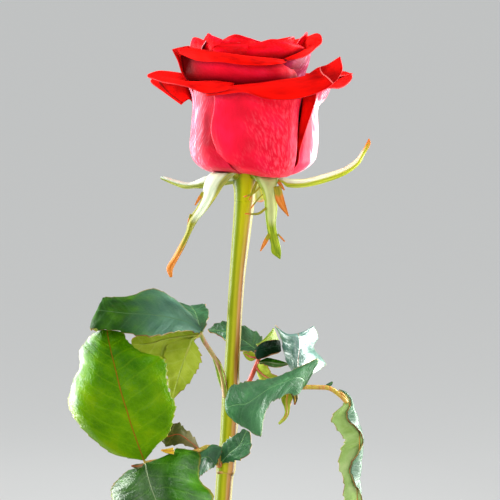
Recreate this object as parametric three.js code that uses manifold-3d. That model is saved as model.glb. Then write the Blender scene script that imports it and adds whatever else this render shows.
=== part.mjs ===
// One cut red rose standing in a slim glass bud vase, in millimetres, +Z up.
// The origin is the centre of the vase's foot, on the surface it stands on. -Y is the front and +X the right.
// The stem leans in the neck, its cut end on the vase's floor. It carries the bloom on a green cup with
// five sepals, and four compound leaves. Petals and leaf blades are thin curved sheets with real thickness.
import * as THREE from "three";
import { mergeVertices } from "three/addons/utils/BufferGeometryUtils.js";
import Module from "manifold-3d";

const wasm = await Module();
wasm.setup();

// ---- driving dimensions, mm and degrees ----

const vase = {
  height: 172,
  wall: 2.2,
  floor: 8,
  footRadius: 26,
  // outer radius at heights up the body: foot, belly, shoulder, neck and lip
  outline: [[26, 1.5], [29, 12], [30, 30], [26.5, 50], [17, 72], [10.4, 92], [8.6, 115], [8.4, 148], [9.8, 162], [12.6, 172]],
};
const water = { level: 84, clearance: 0.6 };

// Points up the middle of the stem, each with the stem's radius there.
const stem = {
  points: [
    [-7.2, 0, 8.8, 3.7], [-1.3, 0, 100, 3.7], [4.9, 0, 192, 3.7], [5.9, 0, 203, 4.3], [7, 0, 216, 3.7],
    [8, 0, 233, 3.9], [8.7, 0, 250, 3.3], [10.8, 0, 286, 3.4], [13.1, 0, 310, 4.1], [14.3, 0, 322.6, 4.5],
  ],
  sides: 10,
  clearance: 0.35,
};

const bladeThickness = 0.7;
const petalThickness = 0.8;
const toothDepth = 1.2;
const colours = {
  glass: "#dfe9e8", water: "#e6f0ee", stem: "#8f9c2e", cup: "#a9b848",
  petal: "#d90f1c", leaf: "#3f7a22", leafDark: "#2f6b3c",
};

// Points of petals and leaves are written on a front-view grid, [across, down, depth]: squares of 0.44 mm counted
// right and down, and the depth in mm behind the stem's plane. The grid tilts and widens a little with depth.
const grid = { square: 0.44, across: 250, down: 250, x: 16.6, z: 300, tilt: 4.5, reach: 1500 };

// ---- the bloom ----

// A petal's net: rows from its root up to its margin, each row anticlockwise seen from above.
const petalNets = {
  // outer front, its right corner turned up and out
  front: [
    [[239, 172, -3], [241, 172.5, -4], [243, 173, -5], [245.5, 173, -5.5], [248, 173.5, -5], [250, 174, -4], [251, 174, -3.5], [252, 174, -3]],
    [[229, 169.5, -11], [235, 170, -15], [243, 171, -18], [254, 173, -19.5], [266, 175.5, -19], [277, 176.5, -16], [282, 176.5, -14], [287, 176, -12]],
    [[220, 157, -21.5], [227, 160, -24], [240, 162, -26.5], [255, 163.5, -27.5], [270, 165, -26.5], [285, 165, -23.5], [290.5, 163.5, -22], [295, 161, -20.5]],
    [[211, 131, -23.2], [221, 133, -25.4], [237, 134, -27.5], [255, 134, -28.5], [273, 134, -27.5], [288.5, 133, -24.2], [293.5, 132, -22.3], [297.5, 131, -20.5]],
    [[214.5, 106, -24], [222, 106, -25.6], [237, 107, -27.8], [255, 108, -28.6], [273, 108, -27.8], [290, 107, -24.4], [296, 105, -22.4], [300, 103, -20.7]],
    [[213, 93, -24.8], [223, 89, -27], [238, 86, -28.8], [257, 84, -29], [280, 81, -28], [300, 78, -24], [307, 75.5, -21], [312, 72, -17]],
    [[205, 92, -25], [221, 89, -29.5], [241, 87, -33], [263, 87.5, -35.5], [290, 86, -35], [316, 80, -30], [325, 73.5, -27], [328, 64, -22]],
    [[207, 96, -26], [222, 94.5, -30.5], [244, 92.5, -35], [266, 98.5, -38.5], [297, 98.5, -38], [326, 88.5, -33.5], [341.5, 72, -30.5], [339.5, 56.5, -27]],
  ],
  // outer left, its lip laid out flat
  left: [
    [[240, 173, 3], [239, 173.5, 2], [238.5, 174, 0], [238.5, 174, -1.5], [239, 174, -3], [240.5, 174, -4], [242, 174, -4.5]],
    [[214, 171, 6], [212, 171, 3], [211, 171.5, -2], [213, 171.5, -7], [218, 171.5, -11], [227, 171, -13.5], [238, 171, -15]],
    [[200, 162, 13], [197, 162, 6], [195.5, 162, -3], [198, 163, -11], [204, 164, -16.5], [215, 166, -20], [231, 166.5, -22.5]],
    [[194, 148, 14], [191, 148, 6], [190.5, 148, -3], [193, 149, -11.5], [199, 150, -17.5], [208, 151, -20.8], [224, 153, -23.5]],
    [[195, 130, 14], [192, 130, 6], [191.5, 130, -3], [194, 131, -11], [200, 132, -17], [210, 133, -20], [223, 134, -23.3]],
    [[196, 100, 15], [193.5, 99, 6], [193, 99, -3], [195, 100, -11], [202, 101, -17.5], [212, 102, -20.8], [226, 104, -24]],
    [[190, 78, 14], [186.5, 80, 6], [185.5, 83, -3], [189.5, 84, -10], [201, 83, -18], [216, 81.5, -24], [234, 84, -27.6]],
    [[186, 74, 15], [175, 74, 6], [168, 76.5, -3], [176, 79.5, -13], [193, 83, -22], [211, 87, -27.5], [233, 87, -30.5]],
    [[179, 73, 16], [160, 71, 7], [147.5, 75.5, -3], [164, 82, -15], [187, 87, -25], [207, 93.5, -30], [233, 89, -31.5]],
  ],
  // outer left towards the back, its lip hanging
  leftBack: [
    [[243, 172.5, 4], [241, 173, 3], [240, 173, 2], [239.5, 173, 1], [239, 173, 0]],
    [[232, 171, 13], [226, 171, 10], [222, 171.5, 7], [220.5, 172, 3], [220, 172, -1]],
    [[222, 163, 21], [212, 163, 16], [206, 164, 11], [204, 165, 5], [204, 165, -2]],
    [[216, 130, 23], [204, 130, 18], [196.5, 131, 12], [194.5, 131, 5], [194, 131, -1]],
    [[216, 100, 23.5], [203, 100, 18.5], [195.5, 102, 12], [193.5, 104, 5], [193.5, 106, -1]],
    [[214, 80, 25], [200, 81, 20], [191, 84, 12], [189, 91, 5], [190, 99, -1]],
    [[210, 76, 30], [189, 77, 25], [172, 81, 15], [173, 91, 5], [185, 101, -1]],
    [[205, 76, 34], [178, 77, 30], [151, 80, 17], [164, 92, 6], [181, 104.5, -1]],
  ],
  // outer right, its front edge folded back on itself
  right: [
    [[250, 174, -3.5], [250.5, 174, -3.5], [251, 174, -3], [252, 174, -1.5], [252, 173.5, 0], [251.5, 173.5, 2], [250, 173, 3.5]],
    [[278, 176.5, -12], [280, 176.5, -12], [284, 176, -9.5], [291, 174, -4], [292, 173.5, 2], [288, 173, 8], [278, 172, 12]],
    [[296.5, 165, -18.5], [296, 165, -17.5], [302, 165, -14.5], [310.5, 163.5, -7], [312.5, 162, 1], [308, 163, 10], [298, 164, 17]],
    [[300, 150, -19.3], [296.5, 150, -17.5], [304, 149, -15], [314.5, 148, -7.5], [317, 148, 0.5], [312, 148, 10], [302, 148, 18.5]],
    [[305, 132, -20], [298.5, 132, -18.3], [306, 132, -15.5], [315.5, 131, -8], [317.8, 131, 0], [314, 131, 10], [304, 131, 19]],
    [[314.5, 104, -20.5], [303, 104, -19.5], [306, 105, -15.5], [315, 106, -8.5], [317.3, 108, 0], [313, 104, 10], [304, 102, 19]],
    [[316.3, 94, -21], [304.8, 93, -20.5], [308, 94, -15.5], [319, 98, -9], [325, 98, 0], [318, 92, 11], [307, 87, 20]],
    [[318, 92, -22], [308, 89, -22], [317, 88, -18], [331.5, 83.5, -12], [336.5, 78.5, 0], [333, 74, 13], [312, 78, 25]],
    [[320, 91, -23], [316, 88, -24], [328, 88, -22], [342, 87, -14], [352, 77.5, 0], [345, 71.5, 14], [322, 74, 28]],
  ],
  // middle front, its margin rolled over
  middleFront: [
    [[214, 140, -11], [225, 140, -15], [238, 140, -17], [252, 140, -17.5], [266, 140, -17], [277, 140, -15], [285, 140, -12]],
    [[204, 100, -13], [216, 100, -18.5], [234, 100, -22.5], [252, 100, -23.5], [270, 100, -22.5], [283, 100, -19.5], [292, 100, -15.5]],
    [[194, 85, -12.5], [209, 85, -19], [232, 85, -23.5], [252, 85, -24.5], [271, 84, -23.8], [286, 82, -20], [297, 78, -15.5]],
    [[184.5, 74, -13.5], [201, 72, -19.5], [228, 73, -25], [251, 74, -26.5], [272, 73, -25.5], [286, 70, -21], [292, 68, -17.5]],
    [[180, 49.5, -13.5], [198, 50.5, -19], [219, 53, -24.5], [239, 55.5, -27.5], [260, 58, -27], [277, 59.5, -24], [285, 60.5, -20]],
    [[178.5, 51, -16], [197, 53.5, -22], [218, 56.5, -27.5], [239, 59.5, -31], [260, 61.5, -30.5], [277, 61.5, -27], [286, 61.5, -21.5]],
    [[181, 54, -16.5], [199, 61, -23], [220, 62, -28.5], [240, 64.5, -31.8], [261, 65.5, -31.3], [277, 64, -27.2], [286, 62.5, -21.8]],
  ],
  // middle left, flaring out so that its inner face shows
  middleLeft: [
    [[222, 140, 14], [212, 140, 8], [207, 140, 2], [206, 140, -4], [208, 140, -9]],
    [[214, 100, 18], [203, 100, 12], [198, 100, 4], [196, 100, -4], [196, 100, -10]],
    [[214, 85, 19], [203, 85, 13], [199, 85, 4.5], [195, 85, -4], [190, 85, -12]],
    [[214, 70, 20], [203, 71, 14], [199, 71, 5], [192, 72, -5], [182, 73, -14]],
    [[214, 58, 20.5], [202, 58, 15], [195, 57, 5.5], [186, 58, -6], [177, 59, -15.5]],
    [[214, 51, 21], [199, 49, 15.5], [189, 46, 6], [181, 47, -6], [173, 49, -15.5]],
  ],
  // middle right, its lip turned out below the tip
  middleRight: [
    [[270, 140, -14], [283, 140, -10], [291, 140, -4], [294, 140, 2], [292, 140, 8], [286, 140, 12], [277, 140, 15]],
    [[273, 100, -19.5], [287, 100, -15], [297.5, 100, -8], [301.5, 100, -1], [300, 100, 7], [294, 100, 13], [284, 100, 18]],
    [[276, 80, -21], [289, 79, -17], [299.5, 77, -9.5], [304.5, 75, -2], [303, 73, 7], [297, 72, 14], [286, 71, 20]],
    [[280, 68, -22], [292, 66, -18.5], [303.5, 65, -11], [308.5, 63, -3], [306.5, 59, 7], [299, 57, 15], [288, 56, 21]],
    [[284, 59, -22.5], [296, 54, -20], [307.5, 49, -12.5], [313, 46, -4], [312, 40, 6], [302, 42, 15], [290, 42, 21.5]],
    [[288, 60.5, -24], [298, 58, -23], [308, 55, -18], [315.3, 48, -9], [321.5, 42, 0], [317.5, 33.3, 7], [300, 40, 20]],
  ],
  // narrow one behind it, only its tip out
  tip: [
    [[283, 100, 8], [288, 100, 11], [284, 100, 15]],
    [[292, 60, 11], [299, 60, 14], [294, 60, 19]],
    [[297, 44, 12], [305, 44, 15], [299, 44, 20]],
    [[298, 41, 12], [307, 32, 15], [297, 41, 20]],
  ],
  // the heart: a broad face at the front, then others set behind it
  heartFront: [
    [[243, 100, -9], [256, 100, -13], [269, 100, -13.5], [280, 100, -11], [287, 100, -6]],
    [[238, 72, -14], [254, 72, -18.5], [272, 72, -18.5], [287, 70, -15], [296, 68, -8]],
    [[238, 56, -16], [254, 57, -21], [274, 57, -21], [290, 55, -17], [301, 52, -9]],
    [[241, 47, -16.5], [257, 46, -21], [275, 44.5, -21], [292, 46, -17], [303, 49, -9]],
    [[246, 43.5, -15.5], [259, 42.5, -20], [273, 39, -20], [290, 42.5, -16], [304, 48, -8]],
  ],
  heartLeft: [
    [[221, 100, -8], [229, 100, -12], [240, 100, -13], [250, 100, -11]],
    [[213, 66, -12], [225, 68, -17], [242, 68, -18.5], [256, 66, -16]],
    [[212, 52, -13], [221, 50, -18.5], [240, 50, -20], [258, 50, -17.5]],
    [[212, 50, -13.5], [218, 44, -18], [238, 42.5, -19.5], [258, 43.5, -17]],
  ],
  heartMiddle: [
    [[226, 100, -4], [235, 100, -6], [246, 100, -6], [256, 100, -4]],
    [[221, 60, -6], [233, 60, -10], [247, 60, -10], [261, 60, -6]],
    [[221, 45, -6], [231, 44, -10.5], [247, 44, -10.5], [262, 46, -6]],
    [[221, 41, -6], [235, 34.5, -10], [248, 37.5, -10], [262, 42, -6]],
  ],
  heartFold: [
    [[213, 100, 2], [216, 100, -4], [222, 100, -8], [230, 100, -8]],
    [[203, 62, 4], [206, 62, -6], [213, 62, -13], [224, 60, -12]],
    [[201, 48, 5], [203, 47, -6], [212, 48, -14], [223, 46, -12]],
    [[203, 44, 6], [208, 34, -4], [213, 36, -8], [223, 40, -11]],
  ],
  heartEnd: [
    [[212, 100, 8], [207, 100, 2], [208, 100, -4], [212, 100, -9]],
    [[200, 62, 10], [195, 62, 2], [196, 62, -6], [203, 62, -12]],
    [[198, 48, 11], [192, 47, 3], [192, 48, -6], [202, 49, -12]],
    [[203, 42, 11], [193, 41, 3], [196, 37.5, -4], [206, 41, -10]],
  ],
  heartBack: [
    [[280, 100, -4], [281, 100, 3], [276, 100, 9], [266, 100, 12]],
    [[289, 62, -5], [291, 62, 4], [284, 62, 12], [270, 62, 16]],
    [[290, 46, -5], [294, 46, 4], [286, 45, 12], [271, 46, 16]],
    [[282, 41, -6], [293, 37, 3], [286, 37.5, 12], [269, 41, 16]],
  ],
};

// Petals at the back, and the tight spiral in the heart, follow one rule. A petal starts at the receptacle, runs
// out along a floor, turns up a corner and climbs a wall, then rolls out at its margin. azimuth is measured from
// the front, positive to the right; a roll starts `from` mm along the flat petal and turns through `turn` degrees.
const bloom = { middle: [18.4, 0, 333.5], plugRadius: 18, plugTop: 42 };
const backPetals = [
  { azimuth: 118, radius: 26.4, attach: 4, sag: 3, corner: 15, length: 70, half: 25, point: 6, pointAt: -0.2, from: 54, roll: 5, turn: 84 },
  { azimuth: 172, radius: 28, attach: 4, sag: 3, corner: 12, length: 70, half: 27, point: 3, pointAt: 0.2, from: 52, roll: 5, turn: 100 },
  { azimuth: -138, radius: 22, attach: 3, sag: 0, corner: 10, length: 71, half: 18, point: 3, pointAt: 0.1, from: 60, roll: 4, turn: 92 },
  { azimuth: 148, radius: 21.5, attach: 3, sag: 0, corner: 10, length: 71, half: 17, point: 4, pointAt: -0.2, from: 61, roll: 3.6, turn: 88 },
];
const heart = { petals: 7, firstAzimuth: 170, step: 137.5, outer: 15, inner: 3.6, top: 58.5, seed: 11 };

// ---- green parts ----

const cup = {
  // radius and height of the swollen top of the stem, under the petals
  outline: [[4.5, 323.4], [4.8, 327.5], [5.6, 331], [6.8, 334]],
  at: [14.4, 0],
  clearance: 0.35,
};

// A blade is a leaflet or sepal. Its net has rows of grid points from base to tip, each from one margin over the
// midrib to the other. teeth: saw teeth a side. A smaller blade has a rib instead, the points along its midrib.
// face: the way its upper side looks, at the base and at the tip. left, right: half-widths in mm at even steps along
// the rib, looking from base to tip onto the upper side. fold: degrees each half rises from flat, at base and tip.
const sepals = [
  // hangs at the front left and twists
  { net: [
    [[226, 180, -3], [234, 179.5, -4.5], [242, 179, -3]],
    [[212, 173, -11], [226, 173, -13.5], [239, 171.5, -8]],
    [[204.5, 184, -13], [214, 184, -15.5], [225.5, 183, -12]],
    [[202.5, 196, -13.5], [208.5, 196.5, -15.5], [216, 197, -13]],
    [[196.5, 208, -13.5], [201.5, 209, -15], [207.5, 208.5, -13]],
    [[189, 219, -13], [192.5, 221, -14.5], [197.5, 220.5, -13]],
    [[186, 232, -13], [188.3, 233, -14], [190.5, 233, -13]],
    [[179.5, 245, -12.5], [182, 246, -13.5], [184.5, 246.5, -12.5]],
    [[173, 257, -12.3], [175.5, 258, -13.3], [178, 258.5, -12.3]],
    [[166.8, 268, -12], [169.5, 269, -12.8], [172.7, 269, -12]],
    [[169.5, 277, -12], [170.7, 277.4, -12.2], [172, 277, -12]],
  ] },
  // points left behind it
  { net: [
    [[236, 183, -1], [238, 180.5, -2], [240, 178, -1]],
    [[206, 187.5, -2], [208, 182, -4], [211, 175.5, -2]],
    [[195, 187.8, -1], [195, 184.5, -3], [196, 180.8, 0]],
    [[184, 188, 0], [185, 184.5, -1.5], [188, 182.8, 1]],
    [[174, 184.5, 1], [174.5, 182, 0], [176, 180, 1.5]],
    [[166, 181, 1], [166.5, 179, 0.5], [168, 177.5, 1.5]],
    [[160.3, 178.5, 1], [160.6, 177.5, 1], [161.5, 176, 1]],
  ] },
  // sweeps out to the right and up
  { net: [
    [[254, 176, -3], [256, 179, -4], [257, 182, -3]],
    [[277, 177, -3], [279, 179.5, -5], [280, 181.5, -4]],
    [[289, 178.8, -2], [288.5, 183, -4.5], [288, 186.6, -3]],
    [[305, 179, 0], [305, 183, -3], [305, 186.6, -1]],
    [[325, 174, 2], [325.5, 178, -0.5], [326, 181.8, 1]],
    [[343, 168, 3], [344, 171.5, 1], [345, 174.5, 2]],
    [[355, 160, 3.5], [357, 163, 2], [358.5, 164.5, 3]],
    [[362, 151, 3.5], [363, 153, 2.7], [364.5, 154, 3.3]],
    [[367, 142, 3.5], [368.5, 143.5, 3], [370, 144.5, 3.3]],
    [[368.5, 138.5, 3.4], [369, 138.5, 3.3], [369.7, 138.8, 3.3]],
  ] },
  // hangs straight down at the front right
  { net: [
    [[262, 180, -3.5], [257, 179.5, -5], [250, 179, -4]],
    [[277, 176.5, -9], [264, 177, -11], [252, 174.5, -8]],
    [[276.5, 186, -10], [268, 187, -12], [259.5, 184.5, -9.5]],
    [[276.5, 198, -10], [270, 198, -11.5], [264, 197, -10]],
    [[277, 210, -10], [271, 210, -11.5], [265, 209, -10]],
    [[275.8, 223, -10], [271.5, 223, -11], [266.3, 222, -10]],
    [[277, 233, -9.5], [272.5, 233, -10.5], [268, 233, -9.5]],
    [[280, 245, -9], [275.5, 245, -10], [270.8, 243, -9]],
    [[281, 252, -8.7], [277, 253, -9.3], [271.8, 252.5, -8.8]],
    [[280.5, 259, -8.5], [280, 259, -8.5], [279, 258, -8.5]],
  ] },
  // behind the stem, curled back
  { net: [
    [[252, 178, 3], [256, 178, 2], [260, 178, 3]],
    [[249, 183, 9], [256, 184, 8], [263, 183, 9]],
    [[251, 191, 14], [258, 192, 13], [265, 191, 14]],
    [[253, 198, 19], [259, 198.5, 18], [265, 198, 19]],
    [[257, 201, 23], [260, 201.5, 23], [263, 201, 23]],
  ] },
];
// Thin side lobes of the sepals, from an edge, sometimes over a point between, to a tip; half is the half width.
const lobes = [
  { from: [203, 192, -13.5], to: [195, 205, -13], half: 0.6 },
  { from: [266, 208, -10.5], over: [258, 213.5, -11], to: [245, 213.5, -10.5], half: 0.5 },
  { from: [260, 187, -9.5], over: [253, 193, -9.5], to: [244, 196.5, -8], half: 0.5 },
  { from: [257, 181, -9], over: [254, 189, -8.5], to: [249, 200, -8], half: 0.6 },
  { from: [263, 194, -9.5], over: [258, 199, -9], to: [251, 208, -8], half: 0.5 },
  { from: [276, 178, -9.5], to: [284.5, 190, -10], half: 0.7 },
  { from: [277, 186, -10.5], over: [280.5, 201, -11], to: [288.5, 216, -10], half: 1.7 },
  { from: [269.5, 234, -9.8], to: [260.5, 251, -8.5], half: 0.8 },
  { from: [278, 234, -9.6], to: [284.8, 241.5, -9], half: 0.5 },
  { from: [191, 214, -13.2], to: [187.5, 229, -13], half: 0.6 },
];

const leaves = {
  leaf_upper_left: {
    stalk: [[226, 398, -2], [222.5, 380, -3.4], [218.5, 366, -4.4], [211, 353, -5.5], [204, 342, -7], [200, 333, -8.3]],
    wing: { to: 4, half: 2.2, face: [[-0.6, -0.7, 0.4], [-0.5, -0.6, 0.6]] },
    blades: [
      // the big one that arches left
      { net: [
        [[199, 334, -9], [199.5, 333, -9], [200, 332, -8], [201, 331, -7], [201.5, 330, -6]],
        [[186, 331.5, -17], [186, 327, -15], [187, 323, -12], [188, 317, -7], [190, 314, 0]],
        [[168, 334, -25], [168, 327, -22], [168, 318, -17], [170, 306, -8], [172, 298, 3]],
        [[148, 336.5, -31], [148, 328, -28], [148, 315, -21], [150, 300, -10], [152, 290, 3]],
        [[126, 335, -33], [126, 326, -31], [127, 314, -24], [129, 302, -14], [131, 296.5, -4]],
        [[106, 331.5, -33], [107, 322, -32], [108, 312, -27], [110, 303, -19], [112, 298, -11]],
        [[90.5, 329, -30], [93, 320, -29.5], [97, 311, -26], [101, 303, -20], [103, 298.5, -14]],
        [[93, 331, -20], [94.5, 323, -19], [98, 315, -17], [102, 307, -13], [105, 302, -9]],
        [[103, 331, -10], [103, 326, -10], [103, 322, -10], [103, 318, -9], [104, 314, -8]],
      ], teeth: 5 },
      // hangs, underside showing
      { rib: [[192, 340, -9], [186, 355, -9.5], [179, 375, -9.5], [172, 400, -9.5]],
        face: [[0.2, 1, 0.1], [0.2, 1, 0.1]], left: [1, 9.5, 8.4, 5, 0.6], right: [1, 6, 7.5, 5, 0.6], fold: [6, 6], teeth: 3, wave: 0.6 },
      // under the one that arches left, underside showing
      { rib: [[199, 335, -8], [180, 337, -9], [162, 340, -9.5], [148, 344, -10], [131, 345, -10]],
        face: [[-0.2, 0.85, 0.5], [-0.4, 0.8, 0.4]], left: [1, 8, 9, 8, 2], right: [1, 10, 13, 12, 5], fold: [8, 8], teeth: 3, wave: 0.6 },
      // points back and up
      { rib: [[201, 333, -7], [197, 319, 0], [193, 310, 9], [189, 307, 20], [186, 316, 30]],
        face: [[0.2, -0.5, 0.85], [0.1, 0, 1]], left: [1, 7, 8, 6, 0.8], right: [1, 5.2, 6, 5, 0.8], fold: [18, 10], teeth: 3, wave: 0.6 },
    ],
  },
  leaf_lower_left: {
    stalk: [[219.5, 468, -2.6], [215, 452, -6], [207, 449, -9], [199, 452, -12], [173, 460, -23], [145, 465, -33.5]],
    wing: { to: 2, half: 3, face: [[-0.6, -0.5, 0.6], [-0.4, -0.5, 0.8]] },
    blades: [
      // the big upright one, its left side rolled back
      { net: [
        [[141, 462, -33.5], [141.5, 462, -34], [142, 462, -34], [143, 462, -34], [144, 461.5, -34], [144.5, 461, -34], [145, 461, -33.5]],
        [[113, 456, -33.5], [119, 455, -34], [129, 453, -35], [139, 451, -35], [146, 450, -35.5], [152, 449, -35], [156, 447, -34]],
        [[90, 439, -34.5], [100, 440, -35.5], [117, 440, -36.5], [134.5, 438, -36], [148, 437, -36.5], [160, 436, -36], [169, 434, -34.5]],
        [[76, 423, -33], [88, 424, -36], [108, 427, -37.5], [130, 425, -36.5], [147, 424, -37], [163, 422, -36.3], [173, 420, -34.5]],
        [[66.5, 406, -28], [79, 409, -35], [101, 414, -38], [126, 411.5, -36.5], [146, 411, -37], [164, 408, -36], [174.5, 406, -34]],
        [[70, 392, -25], [79, 395, -33], [98, 400, -37.5], [122, 399, -36], [141, 398, -36.5], [158, 395, -35], [168.5, 392, -33]],
        [[73, 380, -23], [82, 382, -31.5], [97, 386, -36.5], [118.5, 386, -35], [137, 385, -35.2], [155, 382, -33.5], [166.5, 380, -31]],
        [[80, 368, -21], [87, 369, -29.5], [99, 372, -34.5], [115.5, 373, -33], [133, 373, -33.2], [152, 370, -31.5], [166, 366, -28.5]],
        [[79, 352, -20], [88, 356, -28], [99, 360, -32.5], [112.5, 361, -31], [128, 361, -31], [145, 360, -29], [161, 358, -25.5]],
        [[84, 344, -19.5], [91, 347, -26], [100, 350, -30.5], [110, 350.5, -30], [120, 351, -30], [131, 351.5, -28], [141, 353, -25]],
        [[90.5, 336, -21], [95, 339, -25], [101, 341, -28], [108, 341, -27.5], [115, 341, -27.5], [122, 341.5, -26.5], [129, 344, -25]],
        [[99, 330.5, -25], [102, 330.5, -25.5], [104, 330.5, -26], [106.5, 330.5, -26], [110, 331, -26], [116, 331.5, -25.5], [122, 333, -25]],
      ], teeth: 8 },
      // the one that droops in front
      { net: [
        [[176, 450, -24], [170, 455, -30], [158, 461, -33], [144.5, 466, -34], [140, 469, -34], [134, 471, -33], [127, 473, -31]],
        [[199, 455, -14], [184, 458, -27], [165, 467, -37], [147, 478, -39], [138, 480, -40], [127, 482, -38], [116, 483, -33]],
        [[198, 470, -16], [184, 473, -30], [167, 479, -40], [150.5, 490, -42], [138, 492, -43], [124, 493, -41], [111, 491, -35]],
        [[200, 484, -18], [188, 487, -32], [170, 492, -42], [155, 502, -44], [141, 504, -45], [126, 505, -43], [111, 503, -37]],
        [[213, 498, -22], [196, 502, -34], [176, 506, -43], [160, 514, -45], [146, 517, -45], [132, 519, -43], [118, 518, -38]],
        [[208, 522, -28], [194, 523, -36], [180, 525, -42], [167, 529, -43], [155, 531, -43], [143, 532, -41], [132, 532, -37]],
        [[182, 540, -40], [179.5, 540, -40], [177, 540, -40], [175, 540, -40], [172, 540, -40], [170, 540, -39], [168, 540, -38]],
      ], teeth: 5 },
      // small, arching left
      { net: [
        [[199, 453, -12], [199.5, 452, -12], [200, 451, -12]],
        [[190, 448, -13], [189, 443, -14], [193, 438, -12]],
        [[179, 445, -14], [178, 436, -15.5], [184, 430, -13]],
        [[167, 449, -14], [167, 438, -16], [178, 424.5, -14]],
        [[160, 441, -14], [163, 434, -15], [168, 427, -14]],
      ], teeth: 3 },
      // small, at the node
      { net: [
        [[213, 470, -4.5], [214, 468.5, -5], [215, 467, -5.5], [216.5, 465, -6], [218, 462, -6]],
        [[208, 472, -10], [209, 466, -9], [209.5, 460, -8.5], [214, 454, -9], [222, 450, -10]],
        [[204, 475, -12], [205, 467, -12], [205, 459, -12], [208, 452, -11], [213, 447, -9]],
        [[200, 478, -13], [200, 470, -14], [200, 461, -14], [201, 455, -12], [203, 450, -9]],
        [[197.5, 481, -13], [196, 474, -14.5], [195, 468, -15], [194.5, 463, -13], [195, 458.5, -10]],
        [[196.5, 483, -12.5], [195, 480, -13], [194, 476, -13.5], [193, 472, -12.5], [192.5, 468, -11]],
      ], teeth: 3 },
      // small, in front of the stem
      { rib: [[222, 464, -5], [230, 455, -7.5], [240, 446, -8.5], [247, 432, -8]],
        face: [[-0.3, -0.9, 0.4], [-0.2, -0.9, 0.3]], left: [1, 5, 5.4, 1.5], right: [1, 5, 6, 1.5], fold: [10, 6], teeth: 3, wave: 0.3 },
      // two dried leaf tips
      { rib: [[173, 453, -30], [166, 453, -31], [160.5, 452, -31]],
        face: [[0, -0.9, 0.4], [0, -0.9, 0.4]], left: [1.6, 1, 0.3], right: [1.6, 1, 0.3], fold: [5, 5] },
      { rib: [[143, 467, -34], [136, 468.5, -35], [130.5, 468, -35]],
        face: [[0, -0.9, 0.4], [0, -0.9, 0.4]], left: [0.8, 1, 0.3], right: [0.8, 1, 0.3], fold: [5, 5] },
    ],
  },
  leaf_upper_right: {
    stalk: [[236, 404, 4.3], [243, 392, 4.6], [250, 381, 4.6], [255, 369, 4.4], [261, 355, 4.6]],
    wing: { to: 2, half: 2, face: [[0.5, -0.7, 0.5], [0.5, -0.6, 0.6]] },
    blades: [
      // passes behind the stem
      { rib: [[261, 354, 5.5], [250, 346, 10], [238, 338, 13], [222, 332, 12], [208, 331, 9]],
        face: [[0.1, -0.6, 0.8], [0, -0.7, 0.7]], left: [1, 7, 7, 5, 0.6], right: [1, 7, 7, 5, 0.6], fold: [6, 6], teeth: 3, wave: 0.5 },
      // folded, its dark lower half
      { net: [
        [[255, 350, 2], [255, 352, 1.5], [255, 353, 1]],
        [[260, 345, 1], [259, 351, -1], [257, 360, -2]],
        [[265.5, 342, 3], [266, 349, 1], [264, 358.5, -2]],
        [[271, 341, 5], [272, 348, 4], [271, 356, -1]],
        [[277, 340.5, 7], [278, 347, 6], [278, 354, 1]],
        [[279.5, 341.5, 9], [280.5, 346, 8], [281, 352, 4]],
      ] },
      // folded, its young upper half
      { net: [
        [[256, 345, 3], [258, 347.5, 2.5], [258, 350, 2]],
        [[261.5, 342.5, 3.5], [262, 343.5, 3], [263, 345, 2.5]],
        [[267, 337, 6], [266.5, 340, 4], [266, 342, 3]],
        [[271.5, 331, 9], [271.5, 336, 7], [271, 341, 5]],
        [[273.5, 329, 10.5], [275, 334, 9.5], [276, 340.7, 7.5]],
        [[275.5, 334, 11], [277, 338, 10.5], [278.5, 341, 9.5]],
      ] },
      // narrow, to the right
      { rib: [[259, 363.5, 3], [268, 363.5, 3.5], [278, 365, 4], [288, 365, 4.5]],
        face: [[0, -0.8, 0.6], [0, -0.8, 0.6]], left: [0.8, 2.2, 2, 0.4], right: [0.8, 2, 1.8, 0.4], fold: [6, 6], wave: 0.2 },
      // below, underside showing
      { rib: [[256, 366, 4.6], [261, 373, 2.5], [268, 378, 1.5], [279, 380, 1]],
        face: [[0.2, 0.8, 0.6], [0.1, 0.7, 0.7]], left: [1, 4, 4.5, 2, 0.6], right: [1, 4, 4.5, 3, 0.6], fold: [10, 10], teeth: 3, wave: 0.3 },
      // small, beside the stem
      { rib: [[256, 358, 5], [250, 357, 5.5], [243, 353, 6]],
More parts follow.
